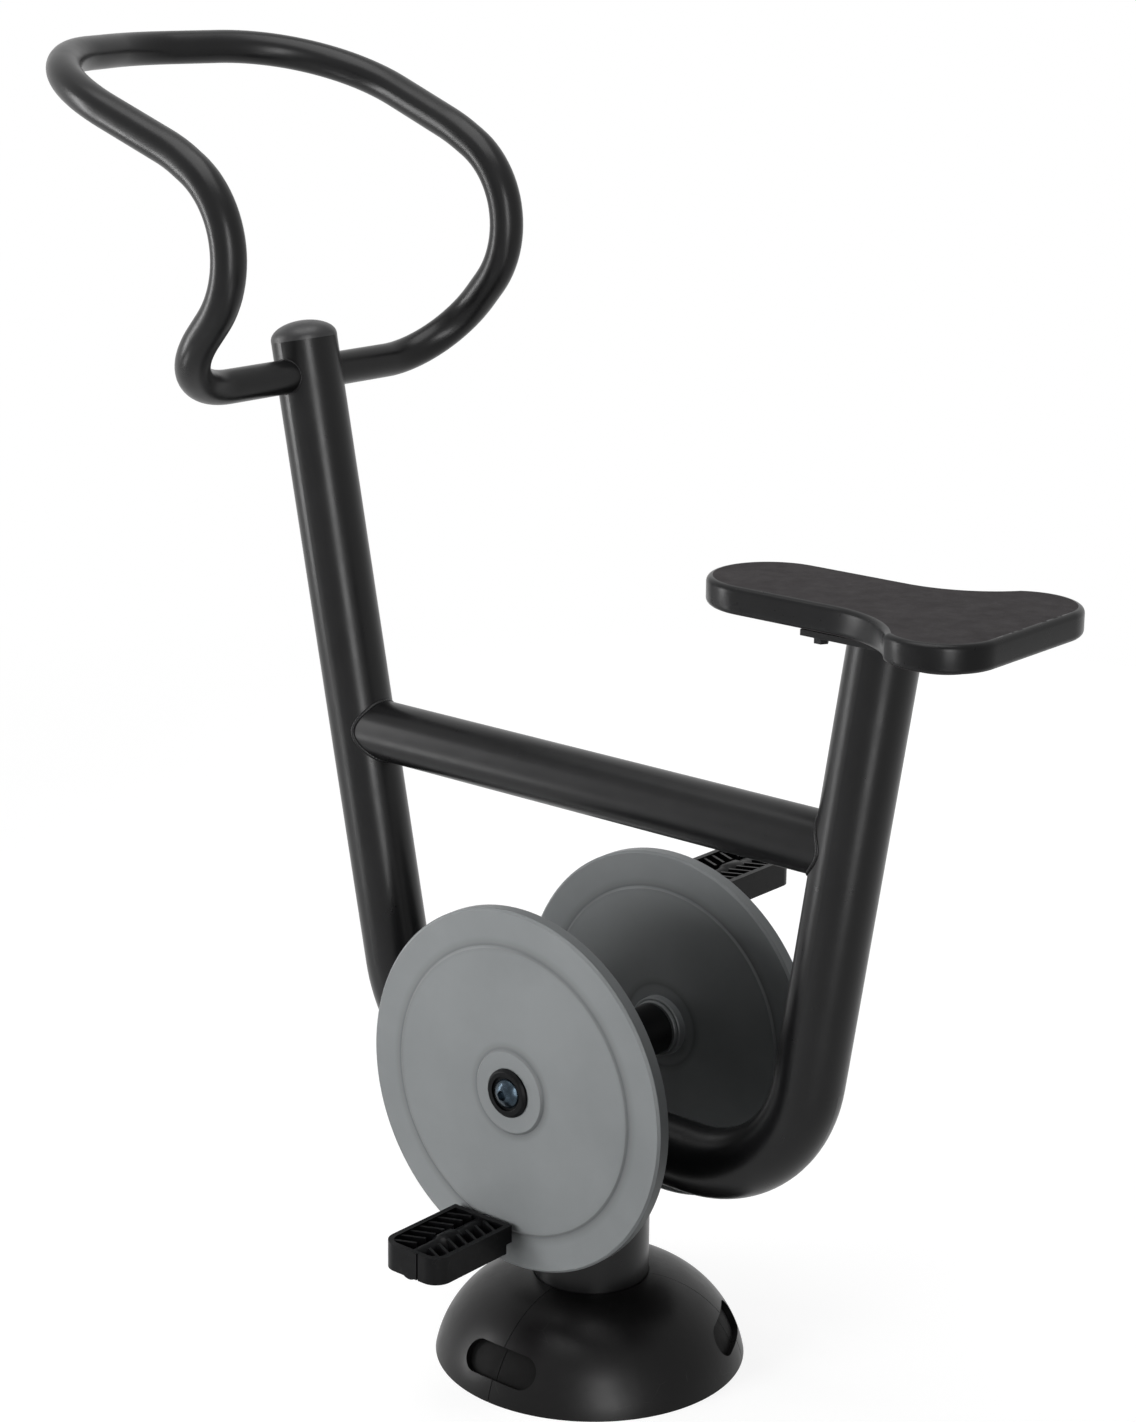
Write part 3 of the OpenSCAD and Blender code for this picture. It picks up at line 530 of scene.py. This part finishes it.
def swept(path: np.ndarray, closed: bool, guide: np.ndarray, radius: np.ndarray | float,
          around: int) -> tuple[np.ndarray, list[np.ndarray]]:
    """A round profile carried along a path: point = path + r (cos t a + sin t b).

    Args:
        path: Points along the path, in metres.
        closed: The last point joins the first.
        guide: One direction a point, for the profile's start.
        radius: Radius of the profile, one value or one a point.
        around: Number of points round the profile.

    Returns:
        The points and the quads.
    """
    a, b = tube_frames(path, closed, guide)
    t = full_turn(around)
    r = np.broadcast_to(np.asarray(radius, float), (len(path),))[:, None, None]
    ring = np.cos(t)[None, :, None] * a[:, None, :] + np.sin(t)[None, :, None] * b[:, None, :]
    pts = path[:, None, :] + r * ring
    faces = face_array(len(path), around, closed, True)[:, ::-1]
    return pts.reshape(-1, 3), [faces]


def rounded_corner(corner: np.ndarray, before: np.ndarray, after: np.ndarray, radius: float,
                   steps: int) -> np.ndarray:
    """Points of the arc that rounds a corner: centre + R (n turned from the first tangent).

    Args:
        corner: The corner.
        before: The corner before it.
        after: The corner after it.
        radius: Radius of the arc.
        steps: Number of points.

    Returns:
        The arc's points, in order.
    """
    u = (corner - before) / np.linalg.norm(corner - before)
    v = (after - corner) / np.linalg.norm(after - corner)
    turn = np.arccos(np.clip(u @ v, -1, 1))
    n = v - (v @ u) * u
    n /= np.linalg.norm(n)
    start = corner - u * radius * tan(turn / 2)
    t = np.linspace(0, turn, steps)[:, None]
    return start + radius * np.sin(t) * u + radius * (1 - np.cos(t)) * n


@dataclass
class Tubes:
    """The frame's welded tubes, as the sizes of their centre lines."""

    main_r: float = 35 * MM
    cross_r: float = 31.5 * MM
    lower_z: float = 250 * MM
    corner_x: float = 250 * MM
    post_lean: float = radians(11.6)
    seat_lean: float = radians(8.7)
    cross_z: float = 612 * MM
    plate_under_z: float = 823 * MM
    ground_post_r: float = 60 * MM
    post_top_z: float = 240 * MM

    def post_x(self, z: float) -> float:
        """Where the front post's centre line is at height z."""
        return self.corner_x + (z - self.lower_z) * tan(self.post_lean)

    def seat_x(self, z: float) -> float:
        """Where the seat tube's centre line is at height z."""
        return -self.corner_x - (z - self.lower_z) * tan(self.seat_lean)


@dataclass
class Welds:
    """The weld beads that join the frame, each a thin round ridge along the line of a joint."""

    tubes: Tubes
    cross_bead_r: float = 2.0 * MM
    plate_bead_r: float = 2.4 * MM
    bar_bead_r: float = 1.0 * MM
    cradle_bead_r: float = 2.2 * MM
    cradle_y: float = 18 * MM
    cradle_half_t: float = 4 * MM
    cradle_half_x: float = 62 * MM
    housing_r: float = 27 * MM
    ripple_pitch: float = 3.4 * MM
    ripple: float = 0.05
    steps: int = 576
    around: int = 12
    foot_along: int = 120
    foot_across: int = 12

    def bead(self, name: str, curve: np.ndarray, guide: np.ndarray, bead_r: float) -> None:
        """A round profile along a closed curve, its radius r (1 + k cos ns) rippling a little.

        Args:
            name: Name of the piece.
            curve: Closed line where two pieces meet.
            guide: One direction a point, for the profile's start.
            bead_r: Mean radius of the bead.
        """
        s = full_turn(len(curve))
        length = np.sum(np.linalg.norm(np.roll(curve, -1, axis=0) - curve, axis=1))
        ripples = round(length / self.ripple_pitch)
        radius = bead_r * (1 + self.ripple * np.cos(ripples * s))
        points, faces = swept(curve, True, guide, radius, self.around)
        make_piece(name, points, faces, POWDER_BLACK, Body.FRAME, smooth_deg=80)

    def cross_tube(self) -> None:
        """Beads where the cross tube meets both uprights: where a level cylinder cuts a leaning one."""
        tubes = self.tubes
        t = full_turn(self.steps)
        y = tubes.cross_r * np.cos(t)
        z = tubes.cross_z + tubes.cross_r * np.sin(t)
        reach = np.sqrt(tubes.main_r ** 2 - y ** 2)
        guide = np.stack([np.zeros_like(t), np.cos(t), np.sin(t)], axis=1)
        lean = tubes.post_lean
        x = tubes.post_x(tubes.cross_z) + (-reach + sin(lean) * (z - tubes.cross_z)) / cos(lean)
        self.bead("weld_cross_front", np.stack([x, y, z], axis=1), guide, self.cross_bead_r)
        lean = tubes.seat_lean
        x = tubes.seat_x(tubes.cross_z) + (reach - sin(lean) * (z - tubes.cross_z)) / cos(lean)
        self.bead("weld_cross_rear", np.stack([x, y, z], axis=1), guide, self.cross_bead_r)

    def saddle_plate(self) -> None:
        """The bead round the seat tube's top, under the saddle plate: a leaning cylinder cut level."""
        tubes = self.tubes
        t = full_turn(self.steps)
        x = tubes.seat_x(tubes.plate_under_z) + tubes.main_r * np.cos(t) / cos(tubes.seat_lean)
        curve = np.stack([x, tubes.main_r * np.sin(t), np.full_like(t, tubes.plate_under_z)], axis=1)
        guide = np.stack([np.cos(t), np.sin(t), np.zeros_like(t)], axis=1)
        self.bead("weld_saddle_plate", curve, guide, self.plate_bead_r)

    def handlebar(self, bar_r: float, bar_z: float) -> None:
        """Two small beads where the handlebar passes through the post: where a cross bar cuts a tube.

        Args:
            bar_r: Radius of the handlebar's tube.
            bar_z: Height of its centre line at the post.
        """
        tubes = self.tubes
        lean = tubes.post_lean
        t = full_turn(self.steps)
        up = np.array([sin(lean), 0, cos(lean)])
        ahead = np.array([cos(lean), 0, -sin(lean)])
        centre = np.array([tubes.post_x(bar_z), 0, bar_z])
        rim = np.cos(t)[:, None] * ahead + np.sin(t)[:, None] * up
        for side in Side:
            y = side.value * np.sqrt(tubes.main_r ** 2 - (bar_r * np.cos(t)) ** 2)
            curve = centre + bar_r * rim + y[:, None] * np.array([0, 1, 0])
            self.bead(f"weld_handlebar_{side.name.lower()}", curve, rim, self.bar_bead_r)

    def ground_post(self) -> None:
        """The bead round the ground post's coped top: along the lid, then down round the post's wall."""
        tubes = self.tubes
        half_w = np.sqrt(tubes.main_r ** 2 - (tubes.lower_z - tubes.post_top_z) ** 2)
        half_x = np.sqrt(tubes.ground_post_r ** 2 - half_w ** 2)
        count = self.steps // 4
        run = np.linspace(-half_x, half_x, count, endpoint=False)
        lid = np.stack([run, np.full(count, half_w), np.full(count, tubes.post_top_z)], axis=1)
        y = half_w * np.cos(np.linspace(0, pi, count, endpoint=False))
        end = np.stack([np.sqrt(tubes.ground_post_r ** 2 - y ** 2), y,
                        tubes.lower_z - np.sqrt(tubes.main_r ** 2 - y ** 2)], axis=1)
        half = np.vstack([lid, end])
        curve = np.vstack([half, half * [-1, -1, 1]])
        self.bead("weld_ground_post", curve, curve * [1, 1, 0], self.plate_bead_r)

    def cradle(self) -> None:
        """Beads round both cradle plates' feet on the lower tube, and round the axle housing."""
        tubes = self.tubes
        along, across = self.foot_along, self.foot_across
        run = np.linspace(-self.cradle_half_x, self.cradle_half_x, along, endpoint=False)
        step = np.linspace(self.cradle_half_t, -self.cradle_half_t, across, endpoint=False)
        x = np.concatenate([run, np.full(across, self.cradle_half_x)])
        dy = np.concatenate([np.full(along, self.cradle_half_t), step])
        x, dy = np.concatenate([x, -x]), np.concatenate([dy, -dy])
        t = full_turn(self.steps // 2)
        rim = np.stack([np.cos(t), np.zeros_like(t), np.sin(t)], axis=1)
        for side in Side:
            name = side.name.lower()
            y = side.value * self.cradle_y + dy
            curve = np.stack([x, y, tubes.lower_z + np.sqrt(tubes.main_r ** 2 - y ** 2)], axis=1)
            up = np.broadcast_to(np.array([0.0, 0.0, 1.0]), curve.shape)
            self.bead(f"weld_cradle_foot_{name}", curve, up, self.cradle_bead_r)
            for face, sign in (("outer", 1), ("inner", -1)):
                plane = side.value * (self.cradle_y + sign * self.cradle_half_t)
                ring = self.housing_r * rim + np.array([0, plane, HUB_Z])
                self.bead(f"weld_housing_{face}_{name}", ring, rim, self.cradle_bead_r)

    def build(self) -> None:
        """Make the beads of the cross tube, the saddle plate, the ground post and the cradle."""
        self.cross_tube()
        self.saddle_plate()
        self.ground_post()
        self.cradle()


@dataclass
class Handlebar:
    """The closed bent loop, as the corners of its centre line and its bend radii.

    Each corner is (x, z) from the place where the loop passes through the post, and the radii
    follow the corners of one side, from the post to the nose.
    """

    tubes: Tubes
    welds: Welds
    bar_r: float = 18 * MM
    bar_z: float = 982 * MM
    half_w: float = 205 * MM
    grip: tuple[float, float] = (-149 * MM, 173 * MM)
    knee: tuple[float, float] = (-21.5 * MM, 245 * MM)
    front: tuple[float, float] = (191 * MM, 324 * MM)
    flare: float = 11 * MM
    nose_x: float = 260.8 * MM
    radii: tuple[float, ...] = (88 * MM, 98 * MM, 190 * MM, 165 * MM, 135 * MM)
    around: int = 48
    per_bend: int = 26

    def centre_line(self) -> np.ndarray:
        """Points of the whole loop, with each corner rounded to its bend radius.

        Returns:
            The closed centre line.
        """
        w = self.half_w
        left = [np.array([0, w, 0]), np.array([self.grip[0], w, self.grip[1]]),
                np.array([self.knee[0], w, self.knee[1]]),
                np.array([self.front[0], w + self.flare, self.front[1]]),
                np.array([self.nose_x, 0, self.front[1]])]
        flip = np.array([1, -1, 1])
        corners = left + [c * flip for c in left[-2::-1]]
        radii = list(self.radii) + list(self.radii[-2::-1])
        n = len(corners)
        arcs = [rounded_corner(corners[i], corners[i - 1], corners[(i + 1) % n], radii[i],
                               self.per_bend) for i in range(n)]
        origin = np.array([self.tubes.post_x(self.bar_z), 0, self.bar_z])
        return np.vstack(arcs) + origin

    def build(self) -> None:
        """Make the loop and the two beads where it passes through the post."""
        line = self.centre_line()
        guide = line - line.mean(axis=0)
        points, faces = swept(line, True, guide, self.bar_r, self.around)
        loop = make_piece("handlebar_loop", points, faces, POWDER_BLACK, Body.FRAME, smooth_deg=60)
        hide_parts("handlebar")
        self.welds.handlebar(self.bar_r, self.bar_z)


@dataclass
class Saddle:
    """The flat seat slab: its plan outline, with rounded top and bottom edges."""

    tubes: Tubes
    top_z: float = 861 * MM
    thick: float = 32 * MM
    nose_half_w: float = 64 * MM
    wing_half_w: float = 121 * MM
    wing_r: float = 55 * MM
    ahead: float = 192 * MM
    behind: float = 158 * MM
    waist_r: float = 110 * MM
    crease: float = 2 * MM
    edge_top: float = 6 * MM
    edge_low: float = 6 * MM
    rim_lift: float = 5 * MM
    rim_in: float = 22 * MM
    tail_points: int = 18
    bend_points: int = 44
    flank_points: int = 12
    nose_points: int = 36
    edge_points: int = 7
    skin_strips: int = 4

    def outline(self) -> np.ndarray:
        """Plan points of one side, from the tail's middle to the nose's middle.

        Arcs in order: the wing's rear corner, the wing, the hollow waist and the round nose.

        Returns:
            Points (x, y) of the +Y side.
        """
        x0 = self.tubes.seat_x(self.tubes.plate_under_z)
        front, rear = x0 + self.ahead, x0 - self.behind
        wing = np.array([rear + self.wing_r, self.wing_half_w - self.wing_r])
        waist_y = self.nose_half_w + self.waist_r
        reach = self.waist_r + self.wing_r - self.crease
        waist = np.array([wing[0] + np.sqrt(reach ** 2 - (waist_y - wing[1]) ** 2), waist_y])
        tail_y = np.linspace(0, wing[1], self.tail_points, endpoint=False)
        gap = np.linalg.norm(waist - wing)
        lean = np.arctan2(waist[1] - wing[1], waist[0] - wing[0])
        inner = np.arccos((self.wing_r ** 2 + gap ** 2 - self.waist_r ** 2) / (2 * self.wing_r * gap))
        wing_arc = plan_arc(wing, self.wing_r, np.linspace(pi, lean + inner, self.bend_points))
        turn = np.arctan2(*(wing_arc[-1] - waist)[::-1])
        waist_arc = plan_arc(waist, self.waist_r, np.linspace(turn, -pi / 2, self.bend_points)[1:])
        nose = np.array([front - self.nose_half_w, 0])
        flank_x = np.linspace(waist[0], nose[0], self.flank_points)[1:-1]
        nose_arc = plan_arc(nose, self.nose_half_w, np.linspace(pi / 2, 0, self.nose_points))
        return np.vstack([np.stack([np.full_like(tail_y, rear), tail_y], axis=1), wing_arc, waist_arc,
                          np.stack([flank_x, np.full_like(flank_x, self.nose_half_w)], axis=1), nose_arc])

    def rings(self, loop: np.ndarray) -> np.ndarray:
        """Inset outlines stacked over the height: each is the outline less d times its normal.

        Here d follows a quarter circle at both edges. The first ring is the edge of the flat
        underside, from which the slab thins to its rim.

        Args:
            loop: The closed outline, whose (-dy, dx) points outwards.

        Returns:
            An array by ring, by point of the outline and by axis.
        """
        d = np.gradient(np.vstack([loop[-1:], loop, loop[:1]]), axis=0)[1:-1]
        normal = np.stack([-d[:, 1], d[:, 0]], axis=1)
        normal /= np.linalg.norm(normal, axis=1, keepdims=True)
        a = np.linspace(0, pi / 2, self.edge_points)
        low = self.top_z - self.thick
        inset = np.concatenate([[self.rim_in], self.edge_low * (1 - np.sin(a)),
                                self.edge_top * (1 - np.cos(a))])
        height = np.concatenate([[low], low + self.rim_lift + self.edge_low * (1 - np.cos(a)),
                                 self.top_z - self.edge_top * (1 - np.sin(a))])
        plan = loop[None] - inset[:, None, None] * normal[None]
        level = np.broadcast_to(height[:, None, None], (*plan.shape[:2], 1))
        return np.concatenate([plan, level], axis=2)

    def cap(self, ring: int, spine: int, half: int, count: int) -> np.ndarray:
        """Quads from a ring to a spine along its middle, one spine point for each outline point.

        Args:
            ring: Number of the ring's first point.
            spine: Number of the spine's first point.
            half: Number of points on one side.
            count: Number of points round the ring.

        Returns:
            The quads of both sides, which face up.
        """
        k = np.arange(half - 1)
        other = (-np.arange(half)) % count
        left = np.stack([ring + k, ring + k + 1, spine + k + 1, spine + k], axis=1)
        right = np.stack([ring + other[k + 1], ring + other[k], spine + k, spine + k + 1], axis=1)
        return np.vstack([left, right])

    def build(self) -> None:
        """Make the slab. Its side is glossier than its skin, apart from the lowest strips, and darker:
        painted shade on the side against painted light on the skin.
        """
        side = self.outline()
        loop = np.vstack([side, (side * [1, -1])[-2:0:-1]])
        rings = self.rings(loop)
        half, count = len(side), len(loop)
        spines = rings[[0, -1], :half]
        spines[..., 1] = 0
        spine = len(rings) * count
        wall = face_array(len(rings), count, False, True)
        under = self.cap(0, spine, half, count)[:, ::-1]
        over = self.cap(spine - count, spine + half, half, count)
        points = np.vstack([rings.reshape(-1, 3), spines.reshape(-1, 3)])
        slab = make_piece("saddle_slab", points, [wall, under, over], SEAT_SKIN, Body.FRAME, smooth_deg=50)
        slab.data.materials.append(SEAT_EDGE.material())
        # The side's faces get the darker glossy finish: its darker colour is painted shade.
        glossy = np.zeros(len(slab.data.polygons), np.int32)
        glossy[self.skin_strips * count:len(wall)] = 1
        slab.data.polygons.foreach_set("material_index", glossy)
        weld_points(slab)
        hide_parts("saddle")


@dataclass
class SoftenedSolids:
    """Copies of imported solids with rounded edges, as paint, casting and moulding leave them."""

    edges: dict[str, tuple[Body, float]] = field(default_factory=lambda: dict(SOFT_EDGES))
    corner_deg: float = 32.0
    merge: float = 0.01 * MM
    flat_deg: float = 0.4
    segments: int = 3
    cover_arc_x: float = 52 * MM
    cover_drop: float = 22 * MM
    cover_arc_r: float = 111 * MM
    recess_skin: float = 1.5 * MM
    recess_low: float = 6 * MM
    recess_facing: float = -0.4

    def soften(self, name: str, body: Body, radius_mm: float) -> None:
        """One rounded copy, which then stands for its node.

        Args:
            name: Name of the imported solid.
            body: The body that it rides on.
            radius_mm: Width of the rounding.
        """
        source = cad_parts[name]
        finish = NODE_FINISH.get(name, ZINC)
        mesh = source.data.copy()
        mesh.transform(source.matrix_world)
        mesh.name = f"soft_{name}"
        normals = mesh.attributes.get("custom_normal")
        if normals is not None:
            mesh.attributes.remove(normals)
        obj = new_object(mesh.name, mesh)
        mesh.materials.clear()
        mesh.materials.append(finish.material())
        weld_points(obj, distance=self.merge, flat_deg=self.flat_deg)
        mesh.shade_smooth()
        bevel = obj.modifiers.new("soft_edges", "BEVEL")
        bevel.width = radius_mm * MM
        bevel.segments = self.segments
        bevel.limit_method = "ANGLE"
        bevel.angle_limit = radians(self.corner_deg)
        bevel.harden_normals = True
        if finish is COVER_BLACK:
            self.darken_recess(mesh)
        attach(obj, body.value)
        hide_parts(name)
        LOG.info("%s: %d points", obj.name, len(mesh.vertices))

    def darken_recess(self, mesh: bpy.types.Mesh) -> None:
        """Give a cover's recess its own matt finish: faces under the domed face that look outwards.

        The domed face is an arc of radius R about (x0, -z0), turned about the post. A face is in
        the recess where it lies closer than R to that arc's centre and doesn't look inwards.

        Args:
            mesh: The cover's mesh.
        """
        count = len(mesh.polygons)
        centre = np.empty(count * 3)
        normal = np.empty(count * 3)
        mesh.polygons.foreach_get("center", centre)
        mesh.polygons.foreach_get("normal", normal)
        centre, normal = centre.reshape(-1, 3), normal.reshape(-1, 3)
        flat = np.hypot(centre[:, 0], centre[:, 1])
        off = np.stack([flat - self.cover_arc_x, centre[:, 2] + self.cover_drop], axis=1)
        depth = self.cover_arc_r - np.hypot(off[:, 0], off[:, 1])
        out = (normal[:, 0] * centre[:, 0] + normal[:, 1] * centre[:, 1]) / flat
        facing = (out * off[:, 0] + normal[:, 2] * off[:, 1]) / np.hypot(off[:, 0], off[:, 1])
        mesh.materials.append(RECESS_BLACK.material())
        inside = (depth > self.recess_skin) & (centre[:, 2] > self.recess_low)
        mask = inside & (facing > self.recess_facing)
        mesh.polygons.foreach_set("material_index", mask.astype(np.int32))

    def build(self) -> None:
        """Round every solid of the table."""
        for name, (body, radius_mm) in self.edges.items():
            self.soften(name, body, radius_mm)


@dataclass(frozen=True)
class Softbox:
    """A rectangular soft lamp that stands round the object and faces its middle.

    The azimuth is in degrees from +X, and the distance is from the origin, along the floor.
    """

    name: str
    azimuth: float
    distance: float
    height: float
    wide: float
    tall: float
    watts: float
    share: Share = Share.BOTH
    aim_z: float = 0.65

    def build(self) -> None:
        """Hang the lamp at (d cos a, d sin a, h), turned to the middle of the object."""
        data = bpy.data.lights.new(self.name, "AREA")
        data.shape = "RECTANGLE"
        data.size = self.wide
        data.size_y = self.tall
        data.energy = self.watts
        obj = new_object(self.name, data)
        a = radians(self.azimuth)
        obj.location = (self.distance * cos(a), self.distance * sin(a), self.height)
        aim = Vector((0, 0, self.aim_z)) - obj.location
        obj.rotation_euler = aim.to_track_quat("-Z", "Y").to_euler()
        obj.visible_glossy = self.share is not Share.MATT
        obj.visible_diffuse = self.share is not Share.GLOSS


# Name, azimuth, distance, height, width and height of the panel, watts and share.
LAMPS = (
    Softbox("left_strip", 32, 2.9, 0.95, 0.5, 1.7, 42, Share.GLOSS),
    Softbox("left_low", 40, 1.4, 0.2, 0.3, 0.3, 2.0, Share.GLOSS),
    Softbox("right_strip", 141, 3.0, 1.25, 0.8, 2.2, 62, Share.GLOSS),
    Softbox("right_low", 149, 1.3, 0.2, 0.34, 0.3, 2.1, Share.GLOSS),
    Softbox("front_mid", 74, 1.9, 0.76, 0.9, 0.5, 23, Share.MATT),
    Softbox("front_low", 82, 1.5, 0.25, 0.5, 0.3, 8, Share.MATT),
    Softbox("far_side", 282, 3.0, 0.44, 2.0, 0.75, 65, Share.MATT),
    Softbox("overhead", 60, 0.4, 3.7, 2.4, 2.4, 64),
)


@dataclass
class Studio:
    """The pale floor, the soft lamps and the camera at the photograph's place."""

    camera_place: tuple[float, float, float] = (-1.8446, 2.2589, 1.5148)
    yaw: float = 0.69585
    pitch: float = 0.23872
    roll: float = 0.01233
    focal_px: float = 3050.6
    image_h: int = 1422
    sensor_mm: float = 36
    clip: tuple[float, float] = (0.05, 60)
    shift_down: float = -0.08
    sky: float = 0.09
    floor_lift: float = 0.84
    floor_half: float = 30.0
    floor_near: float = 0.9
    floor_far: float = 3.2
    lamps: tuple[Softbox, ...] = LAMPS

    def camera(self) -> None:
        """Place the camera: it looks along (sin a cos e, -cos a cos e, -sin e), rolled a little."""
        a, e, r = self.yaw, self.pitch, self.roll
        ahead = Vector((sin(a) * cos(e), -cos(a) * cos(e), -sin(e)))
        right = Vector((-cos(a), -sin(a), 0))
        up = right.cross(ahead)
        right, up = right * cos(r) + up * sin(r), up * cos(r) - right * sin(r)
        data = bpy.data.cameras.new("camera")
        data.sensor_width = self.sensor_mm
        data.lens = self.focal_px / self.image_h * self.sensor_mm
        data.shift_y = self.shift_down
        data.clip_start, data.clip_end = self.clip
        cam = new_object("camera", data)
        turn = Matrix((right, up, -ahead)).transposed().to_4x4()
        cam.matrix_world = Matrix.Translation(self.camera_place) @ turn
        bpy.context.scene.camera = cam

    def backdrop(self) -> None:
        """White to the camera and in reflections, and a soft grey as light."""
        world = bpy.data.worlds.new("studio")
        bpy.context.scene.world = world
        world.use_nodes = True
        world.node_tree.nodes.clear()
        graph = Graph(world.node_tree)
        light = graph.add("ShaderNodeBackground", {"Color": WHITE, "Strength": self.sky})
        white = graph.add("ShaderNodeBackground", {"Color": WHITE, "Strength": 1.0})
        mix = graph.add("ShaderNodeMixShader", {
            "Fac": graph.seen(), 1: light.outputs["Background"], 2: white.outputs["Background"]})
        graph.add("ShaderNodeOutputWorld", {"Surface": mix.outputs["Shader"]})

    def floor_material(self) -> bpy.types.Material:
        """A floor that is pale where it is seen, and the backdrop's white away from the object.

        Near the object it is a plain diffuse floor that keeps the shadow, lifted by a steady pale
        share. The white share rises smoothly with the distance, so that no edge shows. Both
        shares are there for seen rays alone.

        Returns:
            The material.
        """
        mat = FLOOR_PALE.material()
        graph = Graph(mat.node_tree)
        plain = mat.node_tree.nodes["Principled BSDF"].outputs["BSDF"]
        where = graph.add("ShaderNodeNewGeometry")
        reach = graph.add("ShaderNodeVectorMath", {0: where.outputs["Position"]}, operation="LENGTH")
        rise = graph.add("ShaderNodeMapRange", {
            "Value": reach.outputs["Value"], "From Min": self.floor_near, "From Max": self.floor_far},
            interpolation_type="SMOOTHSTEP")
        seen = graph.seen()
        share = graph.add("ShaderNodeMath", {0: rise.outputs["Result"], 1: seen}, operation="MULTIPLY")
        lift = graph.add("ShaderNodeMath", {0: seen, 1: self.floor_lift}, operation="MULTIPLY")
        pale = graph.add("ShaderNodeEmission", {"Color": WHITE, "Strength": lift.outputs["Value"]})
        near = graph.add("ShaderNodeAddShader", {0: plain, 1: pale.outputs["Emission"]})
        white = graph.add("ShaderNodeEmission", {"Color": WHITE, "Strength": 1.0})
        mix = graph.add("ShaderNodeMixShader", {
            "Fac": share.outputs["Value"], 1: near.outputs["Shader"], 2: white.outputs["Emission"]})
        graph.feed(mat.node_tree.nodes["Material Output"], {"Surface": mix.outputs["Shader"]})
        return mat

    def floor(self) -> None:
        """A wide pale floor at the ground line."""
        half = self.floor_half
        mesh = bpy.data.meshes.new("floor")
        corners = [(-half, -half, 0), (half, -half, 0), (half, half, 0), (-half, half, 0)]
        mesh.from_pydata(corners, [], [(0, 1, 2, 3)])
        mesh.materials.append(self.floor_material())
        new_object("floor", mesh)

    def build(self) -> None:
        """Set the view transform and make the camera, lamps, backdrop and floor."""
        bpy.context.scene.view_settings.view_transform = "Standard"
        self.camera()
        self.backdrop()
        self.floor()
        for lamp in self.lamps:
            lamp.build()


@dataclass
class PackedNodes:
    """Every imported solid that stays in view, with its finish."""

    finishes: dict[str, Finish] = field(default_factory=lambda: dict(NODE_FINISH))

    def build(self) -> None:
        """Give each node's own material slots its finish."""
        for name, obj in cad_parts.items():
            mat = self.finishes.get(name, ZINC).material()
            if not obj.data.materials:
                obj.data.materials.append(mat)
            for k in range(len(obj.material_slots)):
                obj.material_slots[k].material = mat
        LOG.info("dressed %d packed nodes", len(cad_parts))


def main() -> None:
    """Build the studio and each sub-assembly in order."""
    logging.basicConfig(level=logging.INFO, format="%(name)s %(message)s")
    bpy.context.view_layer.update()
    tubes = Tubes()
    welds = Welds(tubes)
    for part in (Studio(), PackedNodes(), SoftenedSolids(), welds, Handlebar(tubes, welds), Saddle(tubes)):
        LOG.info("building %s", type(part).__name__)
        part.build()


if __name__ == "__main__":
    main()
